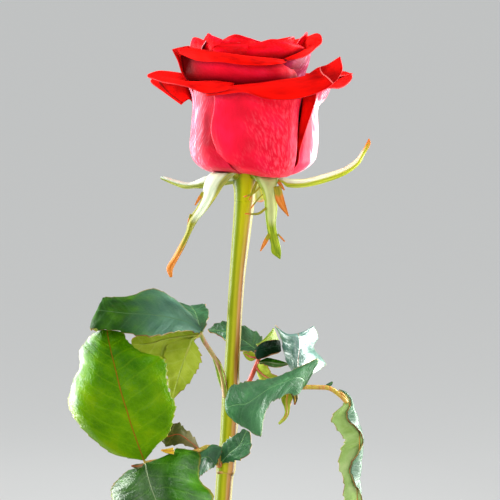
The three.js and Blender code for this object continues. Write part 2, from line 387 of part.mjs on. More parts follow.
        face: [[0, 0.9, 0.4], [0, 0.9, 0.4]], left: [1, 2.6, 0.4], right: [1, 2.4, 0.4], fold: [8, 8], wave: 0.2 },
    ],
  },
  leaf_lower_right: {
    stalk: [[235, 420, -3], [262, 403, -6], [288, 391, -7.5], [304, 388.5, -7.4], [318, 388.5, -7], [330, 389.5, -6.5], [340, 396, -6.2], [347.5, 404, -5.8]],
    wing: { to: 2, half: 1.8, face: [[0.3, -0.6, 0.7], [0, -0.4, 0.9]] },
    blades: [
      // lies across the stem, towards the front
      { net: [
        [[303.5, 388.5, -8], [304, 388, -8], [304.5, 387.5, -8], [306, 386, -8], [307.5, 384, -8]],
        [[297, 396, -12], [300, 389, -12], [304, 381, -11], [309, 374, -10], [315, 369, -9]],
        [[287, 394.5, -15], [292, 387, -16], [298, 378, -15], [307, 368, -13], [317.5, 360, -11]],
        [[279, 399, -18], [281, 391, -19.5], [284, 383, -19], [289, 377, -17.5], [295, 369.5, -16]],
        [[270, 404, -20], [269, 396, -22.5], [270, 389, -22.5], [272, 384, -21], [276, 378.5, -19]],
        [[264, 419, -21], [259, 407, -24.5], [257, 398, -25], [257, 389, -24], [259, 381, -21.5]],
        [[260.5, 438, -20], [250, 418, -25.5], [246, 405, -26.5], [245, 394, -25.5], [246, 382.8, -22.5]],
        [[246, 429.5, -21], [239, 417, -25.5], [236, 406, -26], [235, 395, -25], [237, 385, -23]],
        [[236, 424, -22], [230, 415, -24.5], [228, 408, -25], [227, 400, -24.5], [231, 387, -23]],
        [[227, 416, -23], [225.5, 411, -23.5], [225, 406, -23.5], [225.5, 401, -23.5], [228.5, 393, -23]],
      ], teeth: 5 },
      // stands up, glossy
      { net: [
        [[300, 380, -5], [301, 380, -5], [302, 380, -5], [303, 380, -5], [304, 380, -5]],
        [[290.5, 369, -1], [294.5, 368, -5], [298.3, 367, -5.5], [308, 366, -1], [320, 371, 8]],
        [[286.5, 359, 2], [292.5, 358, -3], [298.8, 356, -3.5], [309, 357, 0], [325.5, 364, 14]],
        [[283, 347, 4], [291, 347, -1.5], [300, 345, -1.5], [307, 347, 4], [313.5, 349, 12]],
        [[280.3, 337.5, 6], [288.5, 338, 0.5], [299, 337, 0], [308, 338, 6], [318, 336, 14]],
        [[275.2, 325.5, 8], [286.5, 334.5, 4], [298, 334.2, 4], [307, 330.5, 9], [313, 326.5, 14]],
      ], teeth: 3 },
      // hangs at the end, a narrow fold of its right margin left out
      { net: [
        [[337, 394.5, -6], [337.3, 394, -6], [338, 393.5, -6], [339, 392, -6], [340, 390.8, -6]],
        [[342, 400, -6], [342.5, 399.5, -6], [343.5, 398.5, -5.8], [345.5, 396, -5.5], [347.5, 394.5, -5]],
        [[343.5, 405.5, -6], [345.5, 404.5, -6], [347.5, 403.5, -5.5], [349.5, 402.5, -4.5], [352.5, 402.5, -4]],
        [[332, 419, -9], [340, 417.5, -7.5], [350, 416, -4], [354, 416, -1], [356.8, 417.5, -3]],
        [[338, 432, -8], [346, 431.5, -7], [356.5, 430.5, -4.5], [359, 430, -2], [361.5, 431, -3]],
        [[344.5, 442, -7], [350, 441, -6.5], [357.5, 441, -5], [361, 440, -4], [363.8, 440, -4]],
        [[342, 450, -7], [349, 450, -7], [357, 450, -5], [361, 450, -3], [363.5, 450, -3.6]],
        [[340, 468, -8], [347, 467, -7.5], [355, 466, -5], [359.5, 466, -2], [361.5, 466.5, -3.5]],
        [[344, 483, -8], [349, 482, -7.5], [354, 482, -5], [358, 482, -2], [360.2, 482, -3.5]],
        [[344.5, 499, -7.5], [350, 498, -7], [355.5, 498, -5.5], [359, 497, -4], [361.8, 497, -4]],
        [[345, 516, -7], [350, 515, -7], [355, 515, -6], [359, 514, -5], [362, 514, -5]],
        [[353, 534, -6], [353.5, 534, -6], [354, 534, -6], [354.5, 534, -6], [355, 534, -6]],
      ], teeth: 6 },
      // small and curled, hanging under the stalk
      { rib: [[288, 393, -7.5], [287, 402, -8.5], [287.5, 410, -9], [286, 418, -9], [279, 425.5, -8.5]],
        face: [[0.2, 0.9, 0.2], [0.2, 0.9, 0.2]], left: [3.2, 2.6, 1.2, 0.9, 0.5], right: [3.6, 2.2, 1.1, 0.9, 0.5], fold: [20, 20], wave: 0.2 },
      // its side lobe
      { rib: [[293, 393, -8], [295.5, 399, -8.5], [295, 406, -8.5]],
        face: [[0.2, 0.9, 0.2], [0.2, 0.9, 0.2]], left: [1.6, 1.2, 0.3], right: [1.6, 1.2, 0.3], fold: [10, 10] },
      // small point on the stalk
      { rib: [[325, 388, -6.5], [330, 386, -6], [333, 383, -5.5]],
        face: [[0.3, -0.7, 0.6], [0.3, -0.7, 0.6]], left: [0.4, 1, 0.3], right: [0.4, 0.8, 0.3], fold: [5, 5] },
    ],
  },
};

// ---- solids ----

// A closed solid from a BufferGeometry whose faces point out.
function solid(geometry) {
  const bare = geometry.clone();
  bare.deleteAttribute("normal");
  bare.deleteAttribute("uv");
  const merged = mergeVertices(bare, 1e-4);
  const made = new wasm.Manifold(new wasm.Mesh({
    numProp: 3,
    vertProperties: new Float32Array(merged.attributes.position.array),
    triVerts: new Uint32Array(merged.index.array),
  }));
  return made;
}

function geometryOf(made) {
  const mesh = made.getMesh();
  return new THREE.BufferGeometry()
    .setAttribute("position", new THREE.BufferAttribute(new Float32Array(mesh.vertProperties), 3))
    .setIndex(new THREE.BufferAttribute(new Uint32Array(mesh.triVerts), 1));
}

// Joins solids and keeps the one outer body: hollows that the joining seals are filled, loose scraps dropped.
function fused(solids, tolerance = 0.06) {
  const joined = wasm.Manifold.union(solids).simplify(tolerance);
  const bodies = joined.decompose();
  return bodies.reduce((best, body) => (body.volume() > best.volume() ? body : best));
}

function namedMesh(name, made, colour, roughness = 0.6) {
  const material = new THREE.MeshStandardMaterial({ color: colour, roughness, metalness: 0 });
  const mesh = new THREE.Mesh(geometryOf(made), material);
  mesh.name = name;
  return mesh;
}

// A sheet with thickness: pointAt(row, column) gives the middle surface, both in 0..1. Both faces are split alike.
function sheet(pointAt, rows, columns, thickness) {
  const grid = rows.map((r) => columns.map((c) => pointAt(r, c)));
  const last = [rows.length - 1, columns.length - 1];
  const normalAt = (i, j) => {
    const along = grid[Math.min(i + 1, last[0])][j].clone().sub(grid[Math.max(i - 1, 0)][j]);
    const across = grid[i][Math.min(j + 1, last[1])].clone().sub(grid[i][Math.max(j - 1, 0)]);
    return across.cross(along).normalize();
  };
  const positions = [];
  for (const side of [0.5, -0.5])
    grid.forEach((row, i) => row.forEach((point, j) =>
      positions.push(...point.clone().addScaledVector(normalAt(i, j), side * thickness).toArray())));
  const size = rows.length * columns.length;
  const id = (i, j, face) => face * size + i * columns.length + j;
  const index = [];
  const quad = (a, b, c, d) => index.push(a, b, c, a, c, d);
  for (let i = 0; i < last[0]; i++)
    for (let j = 0; j < last[1]; j++) {
      quad(id(i, j, 0), id(i, j + 1, 0), id(i + 1, j + 1, 0), id(i + 1, j, 0));
      index.push(id(i, j, 1), id(i + 1, j + 1, 1), id(i, j + 1, 1));
      index.push(id(i, j, 1), id(i + 1, j, 1), id(i + 1, j + 1, 1));
    }
  const rim = [];
  for (let j = 0; j < last[1]; j++) rim.push([0, j]);
  for (let i = 0; i < last[0]; i++) rim.push([i, last[1]]);
  for (let j = last[1]; j > 0; j--) rim.push([last[0], j]);
  for (let i = last[0]; i > 0; i--) rim.push([i, 0]);
  rim.forEach(([i, j], k) => {
    const [ni, nj] = rim[(k + 1) % rim.length];
    quad(id(i, j, 0), id(i, j, 1), id(ni, nj, 1), id(ni, nj, 0));
  });
  return solid(new THREE.BufferGeometry()
    .setAttribute("position", new THREE.BufferAttribute(new Float32Array(positions), 3))
    .setIndex(index));
}

// A round rod through points [x, y, z, radius], capped at both ends.
function rod(points, sides, steps = 3, grow = 0) {
  const curve = new THREE.CatmullRomCurve3(points.map(([x, y, z]) => new THREE.Vector3(x, y, z)));
  const count = (points.length - 1) * steps;
  const positions = [];
  const index = [];
  for (let k = 0; k <= count; k++) {
    const u = k / count;
    const spot = u * (points.length - 1);
    const lower = Math.min(Math.floor(spot), points.length - 2);
    const radius = THREE.MathUtils.lerp(points[lower][3], points[lower + 1][3], spot - lower) + grow;
    const centre = curve.getPoint(u);
    const tangent = curve.getTangent(u);
    const side = new THREE.Vector3(0, 1, 0).addScaledVector(tangent, -tangent.y).normalize();
    const other = tangent.clone().cross(side);
    for (let s = 0; s < sides; s++) {
      const turn = (2 * Math.PI * s) / sides;
      const spotOnRing = centre.clone()
        .addScaledVector(side, radius * Math.cos(turn))
        .addScaledVector(other, radius * Math.sin(turn));
      positions.push(...spotOnRing.toArray());
    }
  }
  for (let k = 0; k < count; k++)
    for (let s = 0; s < sides; s++) {
      const n = (s + 1) % sides;
      const [a, b, c, d] = [k * sides + s, k * sides + n, (k + 1) * sides + n, (k + 1) * sides + s];
      index.push(a, b, c, a, c, d);
    }
  for (let s = 1; s < sides - 1; s++) {
    index.push(0, s + 1, s);
    index.push(count * sides, count * sides + s, count * sides + s + 1);
  }
  return solid(new THREE.BufferGeometry()
    .setAttribute("position", new THREE.BufferAttribute(new Float32Array(positions), 3))
    .setIndex(index));
}

function lathe(outline, segments) {
  const points = outline.map(([r, z]) => new THREE.Vector2(r, z));
  return solid(new THREE.LatheGeometry(points, segments).rotateX(Math.PI / 2));
}

const spaced = (count, bias = 1) => Array.from({ length: count + 1 }, (_, k) => 1 - (1 - k / count) ** bias);

// ---- vase and water ----

// Heights and radii down one side of the vase, smoothly through its outline's points.
function vaseOutline(inset, from, to, steps) {
  const curve = new THREE.SplineCurve(vase.outline.map(([r, z]) => new THREE.Vector2(r, z)));
  const dense = curve.getPoints(200);
  const radiusAt = (z) => {
    const k = dense.findIndex((p) => p.y >= z);
    if (k <= 0) return dense[k < 0 ? dense.length - 1 : 0].x;
    const [a, b] = [dense[k - 1], dense[k]];
    return THREE.MathUtils.lerp(a.x, b.x, (z - a.y) / (b.y - a.y));
  };
  return Array.from({ length: steps + 1 }, (_, k) => {
    const z = THREE.MathUtils.lerp(from, to, k / steps);
    return [radiusAt(z) - inset, z];
  });
}

function makeVase() {
  const outside = vaseOutline(0, 1.5, vase.height, 15);
  const inside = vaseOutline(vase.wall, vase.floor + 3, vase.height, 13).reverse();
  const foot = [[0, 0], [vase.footRadius - 1.5, 0]];
  const lipTop = [[outside.at(-1)[0] - vase.wall / 2, vase.height + 0.6]];
  const well = [[inside.at(-1)[0] - 4, vase.floor + 0.4], [0, vase.floor]];
  return lathe([...foot, ...outside, ...lipTop, ...inside, ...well], 24);
}

function makeWater(hole) {
  const inset = vase.wall + water.clearance;
  const side = vaseOutline(inset, vase.floor + 3.4, water.level, 10);
  const base = [[0, vase.floor + 0.4], [side[0][0] - 4, vase.floor + 1.2]];
  return fused([lathe([...base, ...side, [0, water.level]], 24).subtract(hole)]);
}

// ---- petals ----

const mix = THREE.MathUtils.lerp;

// A point of the front-view grid in the part's own millimetres.
function placed([across, down, depth]) {
  const square = grid.square * (1 + depth / grid.reach);
  const x = grid.x + (across - grid.across) * square;
  const z = grid.z + (grid.down - down) * square - depth * Math.tan(THREE.MathUtils.degToRad(grid.tilt));
  return new THREE.Vector3(x, depth, z);
}

// A smooth value at u (0..1) through evenly stepped numbers.
function smoothed(values, u) {
  const spot = THREE.MathUtils.clamp(u, 0, 1) * (values.length - 1);
  const k = Math.min(Math.floor(spot), values.length - 2);
  const [b, c] = [values[k], values[k + 1]];
  const a = values[k - 1] ?? 2 * b - c;
  const d = values[k + 2] ?? 2 * c - b;
  const f = spot - k;
  return b + 0.5 * f * (c - a + f * (2 * a - 5 * b + 4 * c - d + f * (3 * (b - c) + d - a)));
}

const smoothPoint = (points, u) => [0, 1, 2].map((axis) => smoothed(points.map((point) => point[axis]), u));

// The same for points that are vectors.
function along(vectors, u) {
  return new THREE.Vector3(...smoothPoint(vectors.map((v) => v.toArray()), u));
}

function netPoint(net, row, column) {
  return placed(smoothPoint(net.map((points) => smoothPoint(points, column)), row));
}

function rulePoint(petal, row, column) {
  const t = 2 * column - 1;
  const top = petal.length * (1 - 0.13 * Math.abs(t) ** 3.4) + petal.point * Math.exp(-(((t - petal.pointAt) / 0.2) ** 2));
  const width = petal.half * (0.32 + 0.68 * THREE.MathUtils.smoothstep(row, 0, 0.6));
  let reach = row * top;
  let off = 0;
  const beyond = reach - petal.from;
  if (beyond > 0) {
    const angle = Math.min(beyond / petal.roll, THREE.MathUtils.degToRad(petal.turn));
    const rest = beyond - angle * petal.roll;
    reach = petal.from + petal.roll * Math.sin(angle) + rest * Math.cos(angle);
    off = petal.roll * (1 - Math.cos(angle)) + rest * Math.sin(angle);
  }
  // where `reach` lies on the cup: out along the floor, round the corner, up the wall
  const start = -THREE.MathUtils.degToRad(petal.sag);
  const floor = (petal.radius - petal.attach - petal.corner * (1 - Math.sin(start))) / Math.cos(start);
  const bend = THREE.MathUtils.clamp((reach - floor) / petal.corner, 0, Math.PI / 2 - start);
  const up = Math.max(0, reach - floor - (Math.PI / 2 - start) * petal.corner);
  const slope = start + bend;
  const flat = Math.min(reach, floor);
  const r = petal.attach + flat * Math.cos(start) + petal.corner * (Math.sin(slope) - Math.sin(start))
    + off * Math.sin(slope) + up * (petal.flare ?? 0);
  const z = (petal.base ?? 0) + flat * Math.sin(start) + petal.corner * (Math.cos(start) - Math.cos(slope)) + up
    - off * Math.cos(slope);
  const angle = THREE.MathUtils.degToRad(petal.azimuth) + (t * width) / petal.radius;
  return new THREE.Vector3(r * Math.sin(angle), -r * Math.cos(angle), z).add(new THREE.Vector3(...bloom.middle));
}

function heartPetals() {
  let state = heart.seed;
  const draw = () => {
    state = (state * 16807) % 2147483647;
    return state / 2147483647;
  };
  return Array.from({ length: heart.petals }, (_, k) => {
    const inward = k / (heart.petals - 1);
    const radius = mix(heart.outer, heart.inner, inward ** 0.85);
    const corner = Math.min(9, radius * 0.6);
    const length = heart.top - 8 - 3 * inward + 2 * (draw() - 0.5) + radius * 0.4;
    return { azimuth: heart.firstAzimuth + heart.step * k, radius, attach: Math.min(3, radius * 0.3), sag: -3, corner,
      base: 4 + 4 * inward, length, half: radius * (1.1 + 0.9 * inward), point: 2 * (1 - inward), pointAt: draw() - 0.5,
      from: length - 4.5, roll: 2.4, turn: 60 - 40 * inward, flare: -0.05 };
  });
}

// All petals, and the bloom's solid middle, a little thicker where grow is given.
function petalSolids(grow = 0) {
  const [x, y, z] = bloom.middle;
  const top = bloom.plugTop;
  const plug = lathe([[0, -0.4 - 2 * grow], [9, -2 * grow], [bloom.plugRadius + grow, 6 - grow], [bloom.plugRadius + 1, top / 2], [bloom.plugRadius - 4, top], [0, top]], 12).translate(x, y, z);
  const thickness = petalThickness + 2 * grow;
  const netted = Object.values(petalNets).map((net) =>
    sheet((r, c) => netPoint(net, r, c), spaced(net.length - 1), spaced(net[0].length - 1), thickness));
  const back = backPetals.map((petal) => sheet((r, c) => rulePoint(petal, r, c), spaced(6, 1.5), spaced(4), thickness));
  const inner = heartPetals().map((petal) => sheet((r, c) => rulePoint(petal, r, c), spaced(3, 1.2), spaced(4), thickness));
  return [plug, ...netted, ...back, ...inner];
}

// ---- leaves and sepals ----

// A point of a rib blade's middle surface: row runs from base to tip, column from the left margin to the right.
function bladePoint(blade, row, column) {
  const ribPoints = blade.rib.map(placed);
  const centre = along(ribPoints, row);
  const tangent = along(ribPoints, row + 0.01).sub(along(ribPoints, row - 0.01)).normalize();
  const face = new THREE.Vector3(...blade.face[0]).lerp(new THREE.Vector3(...blade.face[1]), row);
  face.addScaledVector(tangent, -face.dot(tangent)).normalize();
  const right = tangent.clone().cross(face);
  const v = 2 * column - 1;
  const reach = Math.abs(v);
  const width = Math.max(smoothed(v < 0 ? blade.left : blade.right, row), 0.45);
  const rise = THREE.MathUtils.degToRad(mix(blade.fold[0], blade.fold[1], row));
  const wave = (blade.wave ?? 0) * reach ** 2 * Math.sin(9 * row + (v < 0 ? 0 : 2.6)) * Math.sin(Math.PI * row);
  return centre
    .addScaledVector(right, width * v * Math.cos(rise))
    .addScaledVector(face, width * reach * Math.sin(rise) + wave);
}

// A blade as a sheet, its margins stepping in and out for the saw teeth.
function bladeSolid(blade) {
  const shape = (r, c) => (blade.net ? netPoint(blade.net, r, c) : bladePoint(blade, r, c));
  const toothed = (r, c) => {
    const point = shape(r, c);
    if (!blade.teeth || (c > 0 && c < 1) || r === 0 || r === 1) return point;
    const outward = point.clone().sub(shape(r, c ? 0.92 : 0.08)).normalize();
    return point.addScaledVector(outward, toothDepth * ((r * blade.teeth) % 1 < 0.25 ? -0.5 : 0.5));
  };
  const rows = Math.max(2 * (blade.teeth ?? 0), blade.net ? blade.net.length - 1 : blade.rib.length);
  const columns = spaced(blade.net ? blade.net[0].length - 1 : 2);
  return sheet(toothed, spaced(rows), columns, bladeThickness);
}

function makeLeaf({ stalk, wing, blades }, stemClear) {
  const points = stalk.map((point, k) => [...placed(point).toArray(), k ? 1.1 : 1.6]);
  const wings = { rib: stalk.slice(0, wing.to), face: wing.face, left: [wing.half, wing.half], right: [wing.half, wing.half], fold: [15, 15] };
  // each leaflet's own short stalk runs back to the nearest point of the main one
  const necks = blades.map(({ rib, net }) => {
    const line = (rib ?? net.map((row) => row[Math.floor(row.length / 2)])).map(placed);
    const start = line[0];
    const near = stalk.map(placed).reduce((best, point) => (point.distanceTo(start) < best.distanceTo(start) ? point : best));
    const ahead = along(line, 0.12);
    return rod([[...near.toArray(), 0.9], [...start.toArray(), 0.9], [...ahead.toArray(), 0.6]], 5, 1);
  });
  return fused([rod(points, 6, 2), bladeSolid(wings), ...necks, ...blades.map(bladeSolid)]).subtract(stemClear);
}

function makeCup() {
  const body = lathe([[0, cup.outline[0][1]], ...cup.outline, [0, cup.outline.at(-1)[1]]], 16).translate(...cup.at, 0);
  const sideLobes = lobes.map(({ from, over, to, half }) => {
    const middle = over ?? from.map((value, k) => (value + to[k]) / 2);
    const halves = [half, half * 1.1, 0.45];
    return bladeSolid({ rib: [from, middle, to], face: [[0.1, -0.9, 0.3], [0.1, -0.9, 0.3]], left: halves, right: halves, fold: [12, 12] });
  });
  const petalSpace = wasm.Manifold.union(petalSolids(cup.clearance));
  return fused([fused([body, ...sepals.map(bladeSolid), ...sideLobes]).subtract(petalSpace)]);
}

// ---- the part ----

const stemClear = rod(stem.points, stem.sides, 2, stem.clearance);
const stemSolid = rod(stem.points, stem.sides, 2);
// the hole in the water goes on below the stem's cut end
const stemHole = rod([[-7.6, 0, 2.8, 3.7], ...stem.points.slice(0, 2)], stem.sides, 1, stem.clearance + 0.1);

const part = new THREE.Group();
part.add(namedMesh("vase", makeVase(), colours.glass, 0.05));
part.add(namedMesh("water", makeWater(stemHole), colours.water, 0.05));
part.add(namedMesh("stem", stemSolid, colours.stem));
part.add(namedMesh("calyx", makeCup(), colours.cup));
part.add(namedMesh("bloom", fused(petalSolids(), 0.12), colours.petal));
for (const [name, leaf] of Object.entries(leaves))
  part.add(namedMesh(name, makeLeaf(leaf, stemClear), name.includes("left") ? colours.leaf : colours.leafDark, 0.4));

export default part;
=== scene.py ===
# A cut red rose in a clear glass bud vase: petals, sepals, leaves, stem, glass and water over the CAD frame.
import math
from functools import partial

import bmesh
import bpy
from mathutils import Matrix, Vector, noise


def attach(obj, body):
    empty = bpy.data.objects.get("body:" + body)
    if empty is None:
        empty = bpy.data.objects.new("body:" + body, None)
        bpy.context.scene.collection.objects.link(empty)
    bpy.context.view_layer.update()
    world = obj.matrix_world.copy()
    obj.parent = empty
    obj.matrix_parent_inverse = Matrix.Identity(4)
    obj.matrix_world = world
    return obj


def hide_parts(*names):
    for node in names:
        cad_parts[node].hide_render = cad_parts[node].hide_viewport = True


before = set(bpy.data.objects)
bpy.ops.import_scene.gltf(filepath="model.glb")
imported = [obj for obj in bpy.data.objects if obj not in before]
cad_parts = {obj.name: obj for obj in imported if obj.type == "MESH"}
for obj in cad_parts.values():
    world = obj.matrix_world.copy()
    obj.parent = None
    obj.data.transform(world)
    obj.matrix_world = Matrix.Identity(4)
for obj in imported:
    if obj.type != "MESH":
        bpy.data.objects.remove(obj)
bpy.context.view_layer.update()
mm = 0.001
print("stage: frame loaded,", len(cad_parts), "nodes")

# Points of petals and leaves are on a front-view grid, (across, down, depth): squares of 0.44 mm counted
# right and down, and mm behind the stem's plane. The grid tilts and widens a little with depth.
grid = {"square": 0.44, "across": 250, "down": 250, "x": 16.6, "z": 300, "tilt": 4.5, "reach": 1500}


def placed(point):
    across, down, depth = point
    square = grid["square"] * (1 + depth / grid["reach"])
    x = grid["x"] + (across - grid["across"]) * square
    z = grid["z"] + (grid["down"] - down) * square - depth * math.tan(math.radians(grid["tilt"]))
    return Vector((x, depth, z))


def clamp(value, low=0.0, high=1.0):
    return max(low, min(high, value))


def mix(a, b, f):
    return a + (b - a) * f


def smoothStep(value, low, high):
    f = clamp((value - low) / (high - low))
    return f * f * (3 - 2 * f)


# a smooth value at u (0..1) through evenly stepped numbers
def smoothed(values, u):
    spot = clamp(u) * (len(values) - 1)
    k = min(int(spot), len(values) - 2)
    b, c = values[k], values[k + 1]
    a = values[k - 1] if k > 0 else 2 * b - c
    d = values[k + 2] if k + 2 < len(values) else 2 * c - b
    f = spot - k
    return b + 0.5 * f * (c - a + f * (2 * a - 5 * b + 4 * c - d + f * (3 * (b - c) + d - a)))


def smoothPoint(points, u):
    return [smoothed([point[axis] for point in points], u) for axis in range(3)]


# the way a line of points runs at u
def lineCourse(points, u, step=0.01):
    return (Vector(smoothPoint(points, u + step)) - Vector(smoothPoint(points, u - step))).normalized()


# an sRGB hex colour as linear red, green, blue and alpha
def toLinear(code):
    channels = [int(code[k : k + 2], 16) / 255 for k in (1, 3, 5)]
    return tuple(c / 12.92 if c <= 0.04045 else ((c + 0.055) / 1.055) ** 2.4 for c in channels) + (1.0,)


# a node's live output; anything else stays as it is
def outOf(value):
    if isinstance(value, bpy.types.Node):
        return next(output for output in value.outputs if output.enabled)
    return value


# a shader node with its settings, its inputs' values or links, and a ramp's stops
def addNode(tree, kind, inputs=None, stops=None, **settings):
    node = tree.nodes.new("ShaderNode" + kind)
    for name, value in settings.items():
        setattr(node, name, value)
    for key, value in (inputs or {}).items():
        value = outOf(value)
        if isinstance(value, bpy.types.NodeSocket):
            tree.links.new(value, node.inputs[key])
        else:
            node.inputs[key].default_value = value
    if stops:  # a ramp's colours, as (place, hex)
        while len(node.color_ramp.elements) < len(stops):
            node.color_ramp.elements.new(0.5)
        for element, (place, code) in zip(node.color_ramp.elements, stops):
            element.position, element.color = place, toLinear(code)
    return node


# a new material with its shader's own constants set; returns the material, its nodes and the shader
def newMaterial(name, constants):
    material = bpy.data.materials.new(name)
    material.use_nodes = True
    tree = material.node_tree
    shader = tree.nodes["Principled BSDF"]
    for key, value in constants.items():
        shader.inputs[key].default_value = value
    return material, tree, shader


# joins the colour to the shader and, where there is one, the relief, its depth in mm
def finishMaterial(tree, shader, colour, relief=None, strength=0, depth=0):
    tree.links.new(outOf(colour), shader.inputs["Base Color"])
    if relief is not None:
        bump = addNode(tree, "Bump", {"Height": relief, "Strength": strength, "Distance": depth * mm})
        tree.links.new(outOf(bump), shader.inputs["Normal"])


# the places on a sheet: in the pattern's mm, and as the shares of its width and of its length
def sheetPlaces(tree):
    uv = addNode(tree, "UVMap", uv_map="UVMap")
    span = addNode(tree, "SeparateXYZ", {0: addNode(tree, "UVMap", uv_map="spanUv")})
    return uv, span.outputs["X"], span.outputs["Y"]


# a grid of faces whose every vertex is moved to pointAt(row, column), both 0..1, in mm; uvAt gives the
# pattern's place in mm, and swell lifts the surface along its own outward side
def sheetMesh(name, rows, columns, pointAt, uvAt, swell=None):
    bm = bmesh.new()
    flatUv = bm.loops.layers.uv.new("UVMap")
    span = bm.loops.layers.uv.new("spanUv")
    bmesh.ops.create_grid(bm, x_segments=columns, y_segments=rows, size=0.5)
    spots = [(vert.co.y + 0.5, vert.co.x + 0.5) for vert in bm.verts]
    bm.verts.index_update()
    for face in bm.faces:
        face.smooth = True
        for loop in face.loops:
            row, column = spots[loop.vert.index]
            loop[flatUv].uv = [value * mm for value in uvAt(row, column)]
            loop[span].uv = (column, row)
    for vert, (row, column) in zip(bm.verts, spots):
        vert.co = Vector(pointAt(row, column)) * mm
    if swell:
        bm.normal_update()
        for vert, (row, column) in zip(bm.verts, spots):
            vert.co += vert.normal * swell(row, column) * mm
    mesh = bpy.data.meshes.new(name)
    bm.to_mesh(mesh)
    bm.free()
    return mesh


# a piece that replaces a node; its wall is in mm, and offsets pick the materials of its inner face and rim
def addPiece(name, mesh, node, materials, wall=None, offsets=(0, 0)):
    piece = bpy.data.objects.new(name, mesh)
    bpy.context.scene.collection.objects.link(piece)
    for material in materials:
        mesh.materials.append(material)
    if wall:
        solid = piece.modifiers.new("wall", "SOLIDIFY")
        solid.thickness = wall * mm
        solid.offset = 0
        solid.material_offset, solid.material_offset_rim = offsets
    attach(piece, "root")
    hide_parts(node)


# Living rose petal: its inner face is a velvet of fine cones that drinks light and keeps a pure, dark red;
# its outer face is smoother and pinker, with pale raised veins that crowd towards the petal's sides and faint
# flecks over it. Towards the sides the pale veins and a rosy blush are partly a painted sheen of grazing side
# light, the flecks are partly painted glints, and where petals crowd together both faces carry painted shade.
petalLook = {
    "inner": ["#900000", "#c80400", "#ec0800"],
    "edge": ["#9c0408", "#b00810", "#c8202c"],
    "paleEdge": ["#e85c6c", "#f08c98", "#f8bcc4"],
    "paintedShade": "#5c0002",  # where petals crowd together the light dies in them
    "fold": 6,
    "veinStep": 0.7,  # mm between the fine veins
    "fleck": 0.8,  # mm across a pale fleck
    # outer faces: base colours, how far they turn rosy in the band of veins, the shares of the width between
    # which the white veins come and go, how many, flecks, and the mm to the next petal that still darken one;
    # the rosy band and white veins are partly painted sheen, the flecks partly painted glints, the darkening
    # painted shade
    "outer": {
        "plain": {"base": ["#b40418", "#d00a22", "#e01434"], "fold": 10},
        "hollow": {"base": ["#b40418", "#d00a22", "#e01434"], "fold": 10,
                   "crease": (-10.0, 0.935, 0.0, 0.16, "#700800", 0.0)},
        "heart": {"base": ["#b40408", "#dc0610", "#f00a28"], "fold": 4, "lit": (0.42, 0.66, -1.0, 0.0),
                  "gloss": 0.03},
        "front": {"base": ["#c40420", "#dc082c", "#e81440"], "flecksAndGlints": 0.34, "fold": 9,
                  "crease": (0.71, 0.74, 0.0138, 0.0012, "#e86864", 0.6)},
        "band": {"base": ["#c8041c", "#e00a28", "#ee103c"], "fold": 6, "lit": (0.34, 0.54, 0.08, 0.28),
                 "gloss": 0.05},
        "left": {"base": ["#9c0418", "#bc0824", "#cc1034"], "white": (0.02, 0.3, 0.48, 0.86), "share": 0.6,
                 "lean": 32, "blushAndSheen": "#d06c84", "rosy": 0.6, "veins": "#eca8bc", "fold": 8},
        "right": {"base": ["#b80628", "#d41236", "#e8284c"], "white": (0.4, 0.5, 0.64, 0.98), "share": 0.95,
                  "lean": -12, "blushAndSheen": "#dc8498", "rosy": 0.6, "veins": "#f8e4e8", "fade": (0.68, 0.76, 0.4),
                  "fold": 7},
        "middle": {"base": ["#600414", "#840828", "#981440"], "white": (0.2, 0.36, 0.5, 0.7), "share": 0.45,
                   "lean": 25, "blushAndSheen": "#802c58", "rosy": 0.5, "veins": "#c47c98", "fold": 7},
    },
}
petalKinds = {"front": "front", "left": "left", "leftBack": "hollow", "right": "right", "middleFront": "band",
              "middleRight": "middle"}
